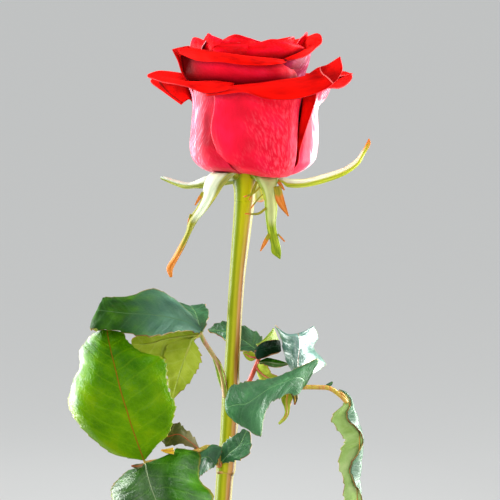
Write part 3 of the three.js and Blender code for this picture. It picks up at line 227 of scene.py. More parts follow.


# the velvet inner face, with painted shade where the bloom closes in on it, and a crease's line where there
# is one
def makePetalInner(name, look):
    material, tree, shader = newMaterial(name, {"Roughness": 0.75, "Specular IOR Level": 0.04})
    uv, widthShare, lengthShare = sheetPlaces(tree)
    soft = addNode(tree, "TexNoise", {"Vector": uv, "Scale": 1 / (9 * mm), "Detail": 2.0})
    shade = addNode(tree, "Math", {0: soft, 1: 1.2, 2: -0.32}, operation="MULTIPLY_ADD")
    shade = addNode(tree, "Math", {0: lengthShare, 1: 0.4, 2: shade}, operation="MULTIPLY_ADD")
    colour = addNode(tree, "ValToRGB", {0: shade}, stops=list(zip((0.3, 0.6, 0.85), petalLook["inner"])))
    stretched = addNode(tree, "Mapping", {"Vector": uv, "Scale": (1.0, 0.12, 1.0)})
    height = addNode(tree, "TexNoise", {"Vector": stretched, "Scale": 1 / (petalLook["veinStep"] * mm),
                                        "Detail": 2.0})
    if "crease" in look:
        # the line bends from one share of the width over to one share of the length; past it a painted shadow
        # darkens the face, and the line itself is painted as a highlight on the fold or as a shaded groove
        acrossFrom, alongFrom, level, width, paintedLineColour, dark = look["crease"]
        across = addNode(tree, "Math", {0: widthShare, 1: acrossFrom}, operation="SUBTRACT")
        along = addNode(tree, "Math", {0: lengthShare, 1: alongFrom}, operation="SUBTRACT")
        away = addNode(tree, "Math", {0: across, 1: along, 2: -level}, operation="MULTIPLY_ADD")
        inside = addNode(tree, "Math", {0: along, 1: 0.0}, operation="GREATER_THAN")
        past = addNode(tree, "Math", {0: away, 1: 0.0}, operation="GREATER_THAN")
        past = addNode(tree, "Math", {0: past, 1: inside}, operation="MULTIPLY")
        shadow = addNode(tree, "MapRange", {"Value": away, 1: 0.0, 2: width * 20, 3: dark, 4: 0.0})
        shadow = addNode(tree, "Math", {0: shadow, 1: past}, operation="MULTIPLY")
        colour = addNode(tree, "Mix", {0: shadow, 6: colour, 7: toLinear(petalLook["paintedShade"])},
                         data_type="RGBA")
        away = addNode(tree, "Math", {0: away}, operation="ABSOLUTE")
        line = addNode(tree, "MapRange", {"Value": away, 1: width / 2, 2: width, 3: 0.9, 4: 0.0})
        colour = addNode(tree, "Mix", {0: line, 6: colour, 7: toLinear(paintedLineColour)}, data_type="RGBA")
        height = addNode(tree, "Math", {0: line, 1: 2.0, 2: height}, operation="MULTIPLY_ADD")
    # painted shade: the face darkens where other petals are near
    nearby = addNode(tree, "AmbientOcclusion", {"Distance": petalLook["fold"] * mm}, samples=8)
    light = addNode(tree, "MapRange", {"Value": nearby.outputs["AO"], 1: 0.0, 2: 0.6})
    colour = addNode(tree, "Mix", {0: light, 6: toLinear(petalLook["paintedShade"]), 7: colour}, data_type="RGBA")
    finishMaterial(tree, shader, colour, height, strength=0.25, depth=0.25)
    return material


def makePetalEdge(name, colours):
    material, tree, shader = newMaterial(name, {"Roughness": 0.6, "Specular IOR Level": 0.08})
    place = addNode(tree, "TexCoord").outputs["Object"]
    tone = addNode(tree, "TexNoise", {"Vector": place, "Scale": 1 / (8 * mm), "Detail": 1.0})
    colour = addNode(tree, "ValToRGB", {0: tone}, stops=list(zip((0.42, 0.54, 0.7), colours)))
    finishMaterial(tree, shader, colour)
    return material


def makePetalMaterials():
    edge = makePetalEdge("rose petal, thin margin", petalLook["edge"])
    paleEdge = makePetalEdge("rose petal, thin pale margin", petalLook["paleEdge"])
    inner = makePetalInner("rose petal, inner velvet face", {})
    sets = {}
    for kind, look in petalLook["outer"].items():
        face = makePetalInner(f"rose petal, inner velvet face, {kind}", look) if "crease" in look else inner
        margin = paleEdge if kind == "heart" else edge
        sets[kind] = [makePetalOuter(f"rose petal, outer face, {kind}", look), face, margin]
    return sets


def makePetalOuter(name, look):
    gloss = {"Roughness": 0.5, "Specular IOR Level": look.get("gloss", 0.1)}
    sheen = {"Sheen Weight": 0.03, "Sheen Roughness": 0.25, "Sheen Tint": toLinear("#ffc0cc")}
    material, tree, shader = newMaterial(name, gloss | sheen)
    uv, widthShare, lengthShare = sheetPlaces(tree)
    tone = addNode(tree, "TexNoise", {"Vector": uv, "Scale": 1 / (12 * mm), "Detail": 2.0})
    base = addNode(tree, "ValToRGB", {0: tone}, stops=list(zip((0.3, 0.5, 0.72), look["base"])))
    leaned = addNode(tree, "Mapping", {"Vector": uv, "Rotation": (0, 0, math.radians(look.get("lean", 0)))})
    leaned = addNode(tree, "Mapping", {"Vector": leaned, "Scale": (1.0, 0.1, 1.0)})
    veins = addNode(tree, "TexNoise", {"Vector": leaned, "Scale": 1 / (petalLook["veinStep"] * mm),
                                       "Detail": 2.0, "Distortion": 0.5})
    if "white" in look:  # white veins, thickest in the middle of their band; partly real veins, partly a painted sheen of side light grazing the petal, and the rosy blush with them is partly painted sheen too
        start, full, fade, end = look["white"]
        grow = addNode(tree, "MapRange", {"Value": widthShare, 1: start, 2: full, 3: 0.0, 4: look["share"]})
        drop = addNode(tree, "MapRange", {"Value": widthShare, 1: fade, 2: end, 3: 1.0, 4: 0.0})
        band = addNode(tree, "Math", {0: grow, 1: drop}, operation="MULTIPLY")
        if "fade" in look:
            first, last, rest = look["fade"]
            top = addNode(tree, "MapRange", {"Value": lengthShare, 1: first, 2: last, 3: 1.0, 4: rest})
            band = addNode(tree, "Math", {0: band, 1: top}, operation="MULTIPLY")
        level = addNode(tree, "Math", {0: band, 1: 0.26, 2: -0.62}, operation="MULTIPLY_ADD")
        lines = addNode(tree, "Math", {0: veins, 1: level}, operation="ADD")
        lines = addNode(tree, "MapRange", {"Value": lines, 1: 0.0, 2: 0.16})
        strength = addNode(tree, "MapRange", {"Value": band, 1: 0.0, 2: 0.4, 3: 0.0, 4: 0.85})
        white = addNode(tree, "Math", {0: lines, 1: strength}, operation="MULTIPLY")
        blushAndSheen = addNode(tree, "Math", {0: band, 1: look["rosy"]}, operation="MULTIPLY")
        base = addNode(tree, "Mix", {0: blushAndSheen, 6: base, 7: toLinear(look["blushAndSheen"])}, data_type="RGBA")
        base = addNode(tree, "Mix", {0: white, 6: base, 7: toLinear(look["veins"])}, data_type="RGBA")
    # faint flecks that run across, in patches towards the petal's right: partly the petal's own mottling,
    # partly painted glints off its crumpled face
    across = addNode(tree, "Mapping", {"Vector": uv, "Rotation": (0, 0, math.radians(-24))})
    across = addNode(tree, "Mapping", {"Vector": across, "Scale": (1.0, 0.3, 1.0)})
    fine = addNode(tree, "TexNoise", {"Vector": across, "Scale": 1 / (petalLook["fleck"] * mm),
                                      "Detail": 2.0})
    patch = addNode(tree, "TexNoise", {"Vector": uv, "Scale": 1 / (18 * mm), "Detail": 1.0})
    right = addNode(tree, "Math", {0: widthShare, 1: 0.5, 2: patch}, operation="MULTIPLY_ADD")
    where = addNode(tree, "MapRange", {"Value": right, 1: 0.6, 2: 0.9, 3: 0.0, 4: look.get("flecksAndGlints", 0.05)})
    specks = addNode(tree, "MapRange", {"Value": fine, 1: 0.45, 2: 0.7})
    specks = addNode(tree, "Math", {0: specks, 1: where}, operation="MULTIPLY")
    colour = addNode(tree, "Mix", {0: specks, 6: base, 7: toLinear("#f8788c")}, data_type="RGBA")
    # painted shade: the face darkens where other petals are near
    nearby = addNode(tree, "AmbientOcclusion", {"Distance": look["fold"] * mm}, samples=8)
    light = addNode(tree, "MapRange", {"Value": nearby.outputs["AO"], 1: 0.1, 2: 0.7})
    if "lit" in look:  # painted shade: darker towards the petal's base, and for some towards its left side, where neighbours shade it; the part that stands clear stays lit
        low, high, first, last = look["lit"]
        clear = addNode(tree, "MapRange", {"Value": lengthShare, 1: low, 2: high})
        beside = addNode(tree, "MapRange", {"Value": widthShare, 1: first, 2: last})
        light = addNode(tree, "Math", {0: light, 1: clear}, operation="MULTIPLY")
        light = addNode(tree, "Math", {0: light, 1: beside}, operation="MULTIPLY")
    colour = addNode(tree, "Mix", {0: light, 6: toLinear(petalLook["paintedShade"]), 7: colour}, data_type="RGBA")
    height = addNode(tree, "Math", {0: veins, 1: 1.2, 2: fine}, operation="MULTIPLY_ADD")
    finishMaterial(tree, shader, colour, height, strength=0.3, depth=0.3)
    return material


petalNets = {
    "front": [
        [(239, 172, -3), (241, 172.5, -4), (243, 173, -5), (245.5, 173, -5.5), (248, 173.5, -5),
         (250, 174, -4), (251, 174, -3.5), (252, 174, -3)],
        [(229, 169.5, -11), (235, 170, -15), (243, 171, -18), (254, 173, -19.5), (266, 175.5, -19),
         (277, 176.5, -16), (282, 176.5, -14), (287, 176, -12)],
        [(220, 157, -21.5), (227, 160, -24), (240, 162, -26.5), (255, 163.5, -27.5), (270, 165, -26.5),
         (285, 165, -23.5), (290.5, 163.5, -22), (295, 161, -20.5)],
        [(211, 131, -23.2), (221, 133, -25.4), (237, 134, -27.5), (255, 134, -28.5), (273, 134, -27.5),
         (288.5, 133, -24.2), (293.5, 132, -22.3), (297.5, 131, -20.5)],
        [(214.5, 106, -24), (222, 106, -25.6), (237, 107, -27.8), (255, 108, -28.6), (273, 108, -27.8),
         (290, 107, -24.4), (296, 105, -22.4), (300, 103, -20.7)],
        [(213, 93, -24.8), (223, 89, -27), (238, 86, -28.8), (257, 84, -29), (280, 81, -28), (300, 78, -24),
         (307, 75.5, -21), (312, 72, -17)],
        [(205, 92, -25), (221, 89, -29.5), (241, 87, -33), (263, 87.5, -35.5), (290, 86, -35), (316, 80, -30),
         (325, 73.5, -27), (328, 64, -22)],
        [(207, 96, -26), (222, 94.5, -30.5), (244, 92.5, -35), (266, 98.5, -38.5), (297, 98.5, -38),
         (326, 88.5, -33.5), (341.5, 72, -30.5), (339.5, 56.5, -27)],
    ],
    "left": [
        [(240, 173, 3), (239, 173.5, 2), (238.5, 174, 0), (238.5, 174, -1.5), (239, 174, -3),
         (240.5, 174, -4), (242, 174, -4.5)],
        [(214, 171, 6), (212, 171, 3), (211, 171.5, -2), (213, 171.5, -7), (218, 171.5, -11),
         (227, 171, -13.5), (238, 171, -15)],
        [(200, 162, 13), (197, 162, 6), (195.5, 162, -3), (198, 163, -11), (204, 164, -16.5), (215, 166, -20),
         (231, 166.5, -22.5)],
        [(194, 148, 14), (191, 148, 6), (190.5, 148, -3), (193, 149, -11.5), (199, 150, -17.5),
         (208, 151, -20.8), (224, 153, -23.5)],
        [(195, 130, 14), (192, 130, 6), (191.5, 130, -3), (194, 131, -11), (200, 132, -17), (210, 133, -20),
         (223, 134, -23.3)],
        [(196, 100, 15), (193.5, 99, 6), (193, 99, -3), (195, 100, -11), (202, 101, -17.5), (212, 102, -20.8),
         (226, 104, -24)],
        [(190, 78, 14), (186.5, 80, 6), (185.5, 83, -3), (189.5, 84, -10), (201, 83, -18), (216, 81.5, -24),
         (234, 84, -27.6)],
        [(186, 74, 15), (175, 74, 6), (168, 76.5, -3), (176, 79.5, -13), (193, 83, -22), (211, 87, -27.5),
         (233, 87, -30.5)],
        [(179, 73, 16), (160, 71, 7), (147.5, 75.5, -3), (164, 82, -15), (187, 87, -25), (207, 93.5, -30),
         (233, 89, -31.5)],
    ],
    "leftBack": [
        [(243, 172.5, 4), (241, 173, 3), (240, 173, 2), (239.5, 173, 1), (239, 173, 0)],
        [(232, 171, 13), (226, 171, 10), (222, 171.5, 7), (220.5, 172, 3), (220, 172, -1)],
        [(222, 163, 21), (212, 163, 16), (206, 164, 11), (204, 165, 5), (204, 165, -2)],
        [(216, 130, 23), (204, 130, 18), (196.5, 131, 12), (194.5, 131, 5), (194, 131, -1)],
        [(216, 100, 23.5), (203, 100, 18.5), (195.5, 102, 12), (193.5, 104, 5), (193.5, 106, -1)],
        [(214, 80, 25), (200, 81, 20), (191, 84, 12), (189, 91, 5), (190, 99, -1)],
        [(210, 76, 30), (189, 77, 25), (172, 81, 15), (173, 91, 5), (185, 101, -1)],
        [(205, 76, 34), (178, 77, 30), (151, 80, 17), (164, 92, 6), (181, 104.5, -1)],
    ],
    "right": [
        [(250, 174, -3.5), (250.5, 174, -3.5), (251, 174, -3), (252, 174, -1.5), (252, 173.5, 0),
         (251.5, 173.5, 2), (250, 173, 3.5)],
        [(278, 176.5, -12), (280, 176.5, -12), (284, 176, -9.5), (291, 174, -4), (292, 173.5, 2),
         (288, 173, 8), (278, 172, 12)],
        [(296.5, 165, -18.5), (296, 165, -17.5), (302, 165, -14.5), (310.5, 163.5, -7), (312.5, 162, 1),
         (308, 163, 10), (298, 164, 17)],
        [(300, 150, -19.3), (296.5, 150, -17.5), (304, 149, -15), (314.5, 148, -7.5), (317, 148, 0.5),
         (312, 148, 10), (302, 148, 18.5)],
        [(305, 132, -20), (298.5, 132, -18.3), (306, 132, -15.5), (315.5, 131, -8), (317.8, 131, 0),
         (314, 131, 10), (304, 131, 19)],
        [(314.5, 104, -20.5), (303, 104, -19.5), (306, 105, -15.5), (315, 106, -8.5), (317.3, 108, 0),
         (313, 104, 10), (304, 102, 19)],
        [(316.3, 94, -21), (304.8, 93, -20.5), (308, 94, -15.5), (319, 98, -9), (325, 98, 0), (318, 92, 11),
         (307, 87, 20)],
        [(318, 92, -22), (308, 89, -22), (317, 88, -18), (331.5, 83.5, -12), (336.5, 78.5, 0), (333, 74, 13),
         (312, 78, 25)],
        [(320, 91, -23), (316, 88, -24), (328, 88, -22), (342, 87, -14), (352, 77.5, 0), (345, 71.5, 14),
         (322, 74, 28)],
    ],
    "middleFront": [
        [(214, 140, -11), (225, 140, -15), (238, 140, -17), (252, 140, -17.5), (266, 140, -17),
         (277, 140, -15), (285, 140, -12)],
        [(204, 100, -13), (216, 100, -18.5), (234, 100, -22.5), (252, 100, -23.5), (270, 100, -22.5),
         (283, 100, -19.5), (292, 100, -15.5)],
        [(194, 85, -12.5), (209, 85, -19), (232, 85, -23.5), (252, 85, -24.5), (271, 84, -23.8),
         (286, 82, -20), (297, 78, -15.5)],
        [(184.5, 74, -13.5), (201, 72, -19.5), (228, 73, -25), (251, 74, -26.5), (272, 73, -25.5),
         (286, 70, -21), (292, 68, -17.5)],
        [(180, 49.5, -13.5), (198, 50.5, -19), (219, 53, -24.5), (239, 55.5, -27.5), (260, 58, -27),
         (277, 59.5, -24), (285, 60.5, -20)],
        [(178.5, 51, -16), (197, 53.5, -22), (218, 56.5, -27.5), (239, 59.5, -31), (260, 61.5, -30.5),
         (277, 61.5, -27), (286, 61.5, -21.5)],
        [(181, 54, -16.5), (199, 61, -23), (220, 62, -28.5), (240, 64.5, -31.8), (261, 65.5, -31.3),
         (277, 64, -27.2), (286, 62.5, -21.8)],
    ],
    "middleLeft": [
        [(222, 140, 14), (212, 140, 8), (207, 140, 2), (206, 140, -4), (208, 140, -9)],
        [(214, 100, 18), (203, 100, 12), (198, 100, 4), (196, 100, -4), (196, 100, -10)],
        [(214, 85, 19), (203, 85, 13), (199, 85, 4.5), (195, 85, -4), (190, 85, -12)],
        [(214, 70, 20), (203, 71, 14), (199, 71, 5), (192, 72, -5), (182, 73, -14)],
        [(214, 58, 20.5), (202, 58, 15), (195, 57, 5.5), (186, 58, -6), (177, 59, -15.5)],
        [(214, 51, 21), (199, 49, 15.5), (189, 46, 6), (181, 47, -6), (173, 49, -15.5)],
    ],
    "middleRight": [
        [(270, 140, -14), (283, 140, -10), (291, 140, -4), (294, 140, 2), (292, 140, 8), (286, 140, 12),
         (277, 140, 15)],
        [(273, 100, -19.5), (287, 100, -15), (297.5, 100, -8), (301.5, 100, -1), (300, 100, 7),
         (294, 100, 13), (284, 100, 18)],
        [(276, 80, -21), (289, 79, -17), (299.5, 77, -9.5), (304.5, 75, -2), (303, 73, 7), (297, 72, 14),
         (286, 71, 20)],
        [(280, 68, -22), (292, 66, -18.5), (303.5, 65, -11), (308.5, 63, -3), (306.5, 59, 7), (299, 57, 15),
         (288, 56, 21)],
        [(284, 59, -22.5), (296, 54, -20), (307.5, 49, -12.5), (313, 46, -4), (312, 40, 6), (302, 42, 15),
         (290, 42, 21.5)],
        [(288, 60.5, -24), (298, 58, -23), (308, 55, -18), (315.3, 48, -9), (321.5, 42, 0), (317.5, 33.3, 7),
         (300, 40, 20)],
    ],
    "tip": [
        [(283, 100, 8), (288, 100, 11), (284, 100, 15)],
        [(292, 60, 11), (299, 60, 14), (294, 60, 19)],
        [(297, 44, 12), (305, 44, 15), (299, 44, 20)],
        [(298, 41, 12), (307, 32, 15), (297, 41, 20)],
    ],
    "heartFront": [
        [(243, 100, -9), (256, 100, -13), (269, 100, -13.5), (280, 100, -11), (287, 100, -6)],
        [(238, 72, -14), (254, 72, -18.5), (272, 72, -18.5), (287, 70, -15), (296, 68, -8)],
        [(238, 56, -16), (254, 57, -21), (274, 57, -21), (290, 55, -17), (301, 52, -9)],
        [(241, 47, -16.5), (257, 46, -21), (275, 44.5, -21), (292, 46, -17), (303, 49, -9)],
        [(246, 43.5, -15.5), (259, 42.5, -20), (273, 39, -20), (290, 42.5, -16), (304, 48, -8)],
    ],
    "heartLeft": [
        [(221, 100, -8), (229, 100, -12), (240, 100, -13), (250, 100, -11)],
        [(213, 66, -12), (225, 68, -17), (242, 68, -18.5), (256, 66, -16)],
        [(212, 52, -13), (221, 50, -18.5), (240, 50, -20), (258, 50, -17.5)],
        [(212, 50, -13.5), (218, 44, -18), (238, 42.5, -19.5), (258, 43.5, -17)],
    ],
    "heartMiddle": [
        [(226, 100, -4), (235, 100, -6), (246, 100, -6), (256, 100, -4)],
        [(221, 60, -6), (233, 60, -10), (247, 60, -10), (261, 60, -6)],
        [(221, 45, -6), (231, 44, -10.5), (247, 44, -10.5), (262, 46, -6)],
        [(221, 41, -6), (235, 34.5, -10), (248, 37.5, -10), (262, 42, -6)],
    ],
    "heartFold": [
        [(213, 100, 2), (216, 100, -4), (222, 100, -8), (230, 100, -8)],
        [(203, 62, 4), (206, 62, -6), (213, 62, -13), (224, 60, -12)],
        [(201, 48, 5), (203, 47, -6), (212, 48, -14), (223, 46, -12)],
        [(203, 44, 6), (208, 34, -4), (213, 36, -8), (223, 40, -11)],
    ],
    "heartEnd": [
        [(212, 100, 8), (207, 100, 2), (208, 100, -4), (212, 100, -9)],
        [(200, 62, 10), (195, 62, 2), (196, 62, -6), (203, 62, -12)],
        [(198, 48, 11), (192, 47, 3), (192, 48, -6), (202, 49, -12)],
        [(203, 42, 11), (193, 41, 3), (196, 37.5, -4), (206, 41, -10)],
    ],
    "heartBack": [
        [(280, 100, -4), (281, 100, 3), (276, 100, 9), (266, 100, 12)],
        [(289, 62, -5), (291, 62, 4), (284, 62, 12), (270, 62, 16)],
        [(290, 46, -5), (294, 46, 4), (286, 45, 12), (271, 46, 16)],
        [(282, 41, -6), (293, 37, 3), (286, 37.5, 12), (269, 41, 16)],
    ],
}

bloom = {"middle": (18.4, 0, 333.5), "wall": 0.45, "rows": 56, "columns": 48, "ruffle": 0.35,
         "pattern": 70, "patternStep": 100}
# back petals and the heart's tight spiral follow one rule: a floor, a corner, a wall and a rolled margin
backPetals = [
    {"azimuth": 118, "radius": 26.4, "attach": 4, "sag": 3, "corner": 15, "length": 70, "half": 25,
     "point": 6, "pointAt": -0.2, "start": 54, "roll": 5, "turn": 84},
    {"azimuth": 172, "radius": 28, "attach": 4, "sag": 3, "corner": 12, "length": 70, "half": 27, "point": 3,
     "pointAt": 0.2, "start": 52, "roll": 5, "turn": 100},
    {"azimuth": -138, "radius": 22, "attach": 3, "sag": 0, "corner": 10, "length": 71, "half": 18, "point": 3,
     "pointAt": 0.1, "start": 60, "roll": 4, "turn": 92},
    {"azimuth": 148, "radius": 21.5, "attach": 3, "sag": 0, "corner": 10, "length": 71, "half": 17,
     "point": 4, "pointAt": -0.2, "start": 61, "roll": 3.6, "turn": 88},
]
heart = {"petals": 7, "firstAzimuth": 170, "step": 137.5, "outer": 15, "inner": 3.6, "top": 58.5, "seed": 11}


# the smooth surface through a net's rows of grid points; each column's line is worked out once
def netShape(net):
    lines = {}

    def shape(row, column):
        if column not in lines:
            lines[column] = [smoothPoint(points, column) for points in net]
        return placed(smoothPoint(lines[column], row))

    return shape


# how far the margin reaches, then along the floor, round the corner, up the wall and over the rolled margin
def rulePoint(petal, row, column):
    t = 2 * column - 1
    tip = petal["point"] * math.exp(-(((t - petal["pointAt"]) / 0.2) ** 2))
    top = petal["length"] * (1 - 0.13 * abs(t) ** 3.4) + tip
    width = petal["half"] * (0.32 + 0.68 * smoothStep(row, 0, 0.6))
    reach, off = row * top, 0
    beyond = reach - petal["start"]
    if beyond > 0:
        angle = min(beyond / petal["roll"], math.radians(petal["turn"]))
        rest = beyond - angle * petal["roll"]
        reach = petal["start"] + petal["roll"] * math.sin(angle) + rest * math.cos(angle)
        off = petal["roll"] * (1 - math.cos(angle)) + rest * math.sin(angle)
    begin = -math.radians(petal["sag"])
    corner = petal["corner"]
    floor = (petal["radius"] - petal["attach"] - corner * (1 - math.sin(begin))) / math.cos(begin)
    bend = clamp((reach - floor) / corner, 0, math.pi / 2 - begin)
    up = max(0, reach - floor - (math.pi / 2 - begin) * corner)
    slope, flat = begin + bend, min(reach, floor)
    r = petal["attach"] + flat * math.cos(begin) + corner * (math.sin(slope) - math.sin(begin))
    r += off * math.sin(slope) + up * petal.get("flare", 0)
    z = petal.get("base", 0) + flat * math.sin(begin) + corner * (math.cos(begin) - math.cos(slope))
    z += up - off * math.cos(slope)
    angle = math.radians(petal["azimuth"]) + t * width / petal["radius"]
    return Vector((r * math.sin(angle), -r * math.cos(angle), z)) + Vector(bloom["middle"])


# numbers spread evenly from 0 to 1, the same in each run
def drawn(state, times=16807, prime=2147483647):
    while True:
        state = state * times % prime
        yield state / prime


def heartPetals():
    draws = drawn(heart["seed"])
    found = []
    for k in range(heart["petals"]):
        inward = k / (heart["petals"] - 1)
        radius = mix(heart["outer"], heart["inner"], inward**0.85)
        length = heart["top"] - 8 - 3 * inward + 2 * (next(draws) - 0.5) + radius * 0.4
        found.append({"azimuth": heart["firstAzimuth"] + heart["step"] * k, "radius": radius, "sag": -3,
                      "attach": min(3, radius * 0.3), "corner": min(9, radius * 0.6), "base": 4 + 4 * inward,
                      "length": length, "half": radius * (1.1 + 0.9 * inward), "point": 2 * (1 - inward),
                      "pointAt": next(draws) - 0.5, "start": length - 4.5, "roll": 2.4,
                      "turn": 60 - 40 * inward, "flare": -0.05})
    return found


def makeBloom(materials):
    shapes = {name: netShape(net) for name, net in petalNets.items()}
    shapes |= {f"back{k}": partial(rulePoint, petal) for k, petal in enumerate(backPetals, 1)}
    shapes |= {f"spiral{k}": partial(rulePoint, petal) for k, petal in enumerate(heartPetals(), 1)}
    for k, (name, shape) in enumerate(shapes.items()):
        half = max(8, (shape(0.5, 1) - shape(0.5, 0)).length * 0.6)

        # small uneven waves that grow towards the margin
        def ruffle(row, column):
            wave = noise.noise(Vector((column * 4.5, row * 3, k * 7.3)))
            fine = noise.noise(Vector((column * 13, row * 6, k * 3.1)))
            return bloom["ruffle"] * row**2 * (1.6 * wave + 0.6 * fine)

        # each petal's pattern starts a step on from the last one's
        def patternPlace(row, column):
            return (2 * column - 1) * half + bloom["patternStep"] * k, row * bloom["pattern"]

        mesh = sheetMesh(f"petal_{name}", bloom["rows"], bloom["columns"], shape, patternPlace, ruffle)
        kind = "heart" if name.startswith(("heart", "spiral", "tip")) else petalKinds.get(name, "plain")
        addPiece(f"petal_{name}", mesh, "bloom", materials[kind], bloom["wall"], (1, 2))


# Fresh rose leaf: leathery and waxed above, so it takes a cool gloss over its sunk veins, pale and dull
# below; its fine saw teeth are tipped with rust. A look's upper colours give way to its far ones towards the
# tip, gloss is its roughness and shine the strength of its reflection, polish changes that across the blade,
# and a look's sheen is painted: pale streaks of painted reflection laid over its colour.
leafLook = {
    "arched": {"upper": ["#284a3c", "#385c48", "#4c705c"], "far": ["#082c00", "#184000", "#346000"],
               "farFrom": (0.28, 0.52), "vein": "#54784c", "midrib": "#3c5c34", "gloss": 0.5, "shine": 0.08,
               "relief": 0.45, "veins": 0.1},
    "dark": {"upper": ["#163c20", "#245230", "#3c7048"], "vein": "#4f8a4c", "midrib": "#5c8a4c",
             "gloss": 0.38, "shine": 0.34, "relief": 0.5, "veins": 0.25},
    "lying": {"upper": ["#184820", "#246030", "#407c44"], "vein": "#4c8450", "midrib": "#588c50",
              "gloss": 0.38, "shine": 0.45, "relief": 0.5, "veins": 0.25},
    "sunlit": {"upper": ["#0c3400", "#1c4800", "#306008"], "vein": "#5c8c2c", "midrib": "#8c9c74",
               "gloss": 0.36, "shine": 0.42, "polish": (0.02, 0.3, 0.5), "relief": 0.6, "veins": 0.2},
    "bright": {"upper": ["#3c6800", "#548000", "#749000"], "far": ["#205000", "#386800", "#548000"],
               "farFrom": (0.3, 0.7), "vein": "#80a010", "midrib": "#8c4810", "gloss": 0.34, "shine": 0.04,
               "polish": (0.5, 0.06, 0.16), "waxSheen": ("#a4b8a8", 0.26, 0.38), "relief": 0.9, "veins": 0.16},
    "waxed": {"upper": ["#2c5448", "#4c7468", "#7c9c94"], "vein": "#7ca48c", "midrib": "#a06c4c",
              "gloss": 0.32, "shine": 1.0, "relief": 0.6, "veins": 0.3},
    # a leaf in shadow: its dark colours, nearly black towards the tip, are painted shade
    "paintedShade": {"upper": ["#0c2418", "#183828", "#284c3c"], "far": ["#010802", "#021405", "#06200a"],
             "farFrom": (0.1, 0.4), "vein": "#103014", "midrib": "#14301c", "gloss": 0.4, "shine": 0.02,
             "relief": 0.5, "veins": 0.2},
    # young growth; on one part of a leaf these colours are painted light shining through it from behind
    "young": {"upper": ["#4f6c08", "#6f8c10", "#8aa628"], "vein": "#9cb040", "midrib": "#a8a848",
              "gloss": 0.45, "shine": 0.3, "relief": 0.4, "veins": 0.3},
    "yellowed": {"upper": ["#9c7c04", "#c09c08", "#cca828"], "vein": "#d8b838", "midrib": "#b4601c",
                 "gloss": 0.5, "shine": 0.3, "relief": 0.3, "veins": 0.2},
    "aged": {"upper": ["#585434", "#74704c", "#8c8868"], "far": ["#28300a", "#3c4414", "#50581c"],
             "farFrom": (0.25, 0.55), "vein": "#8c7838", "midrib": "#a83c20", "gloss": 0.5, "shine": 0.15,
             "relief": -0.4, "veins": 0.2},
    # the pale underside, partly brightened by painted light shining through the leaf
    "under": {"upper": ["#788c14", "#909f2c", "#a8b448"], "vein": "#acb868", "midrib": "#a4ac4c",
              "gloss": 0.6, "shine": 0.08, "relief": -0.3, "veins": 0.2},
    "pale": {"upper": ["#749040", "#8ca860", "#a4b47c"], "vein": "#a4b478", "midrib": "#a46c2c", "gloss": 0.6,
             "shine": 0.08, "relief": -0.4, "veins": 0.2},
}
leafEdge = ["#6c3418", "#9c6c30", "#b0ac70"]
# side veins stand a step apart; over a width they lead on towards the tip, bent by a power, in mm
sideVeins = {"step": 6.5, "lead": 6.5, "over": 10, "bend": 0.8}


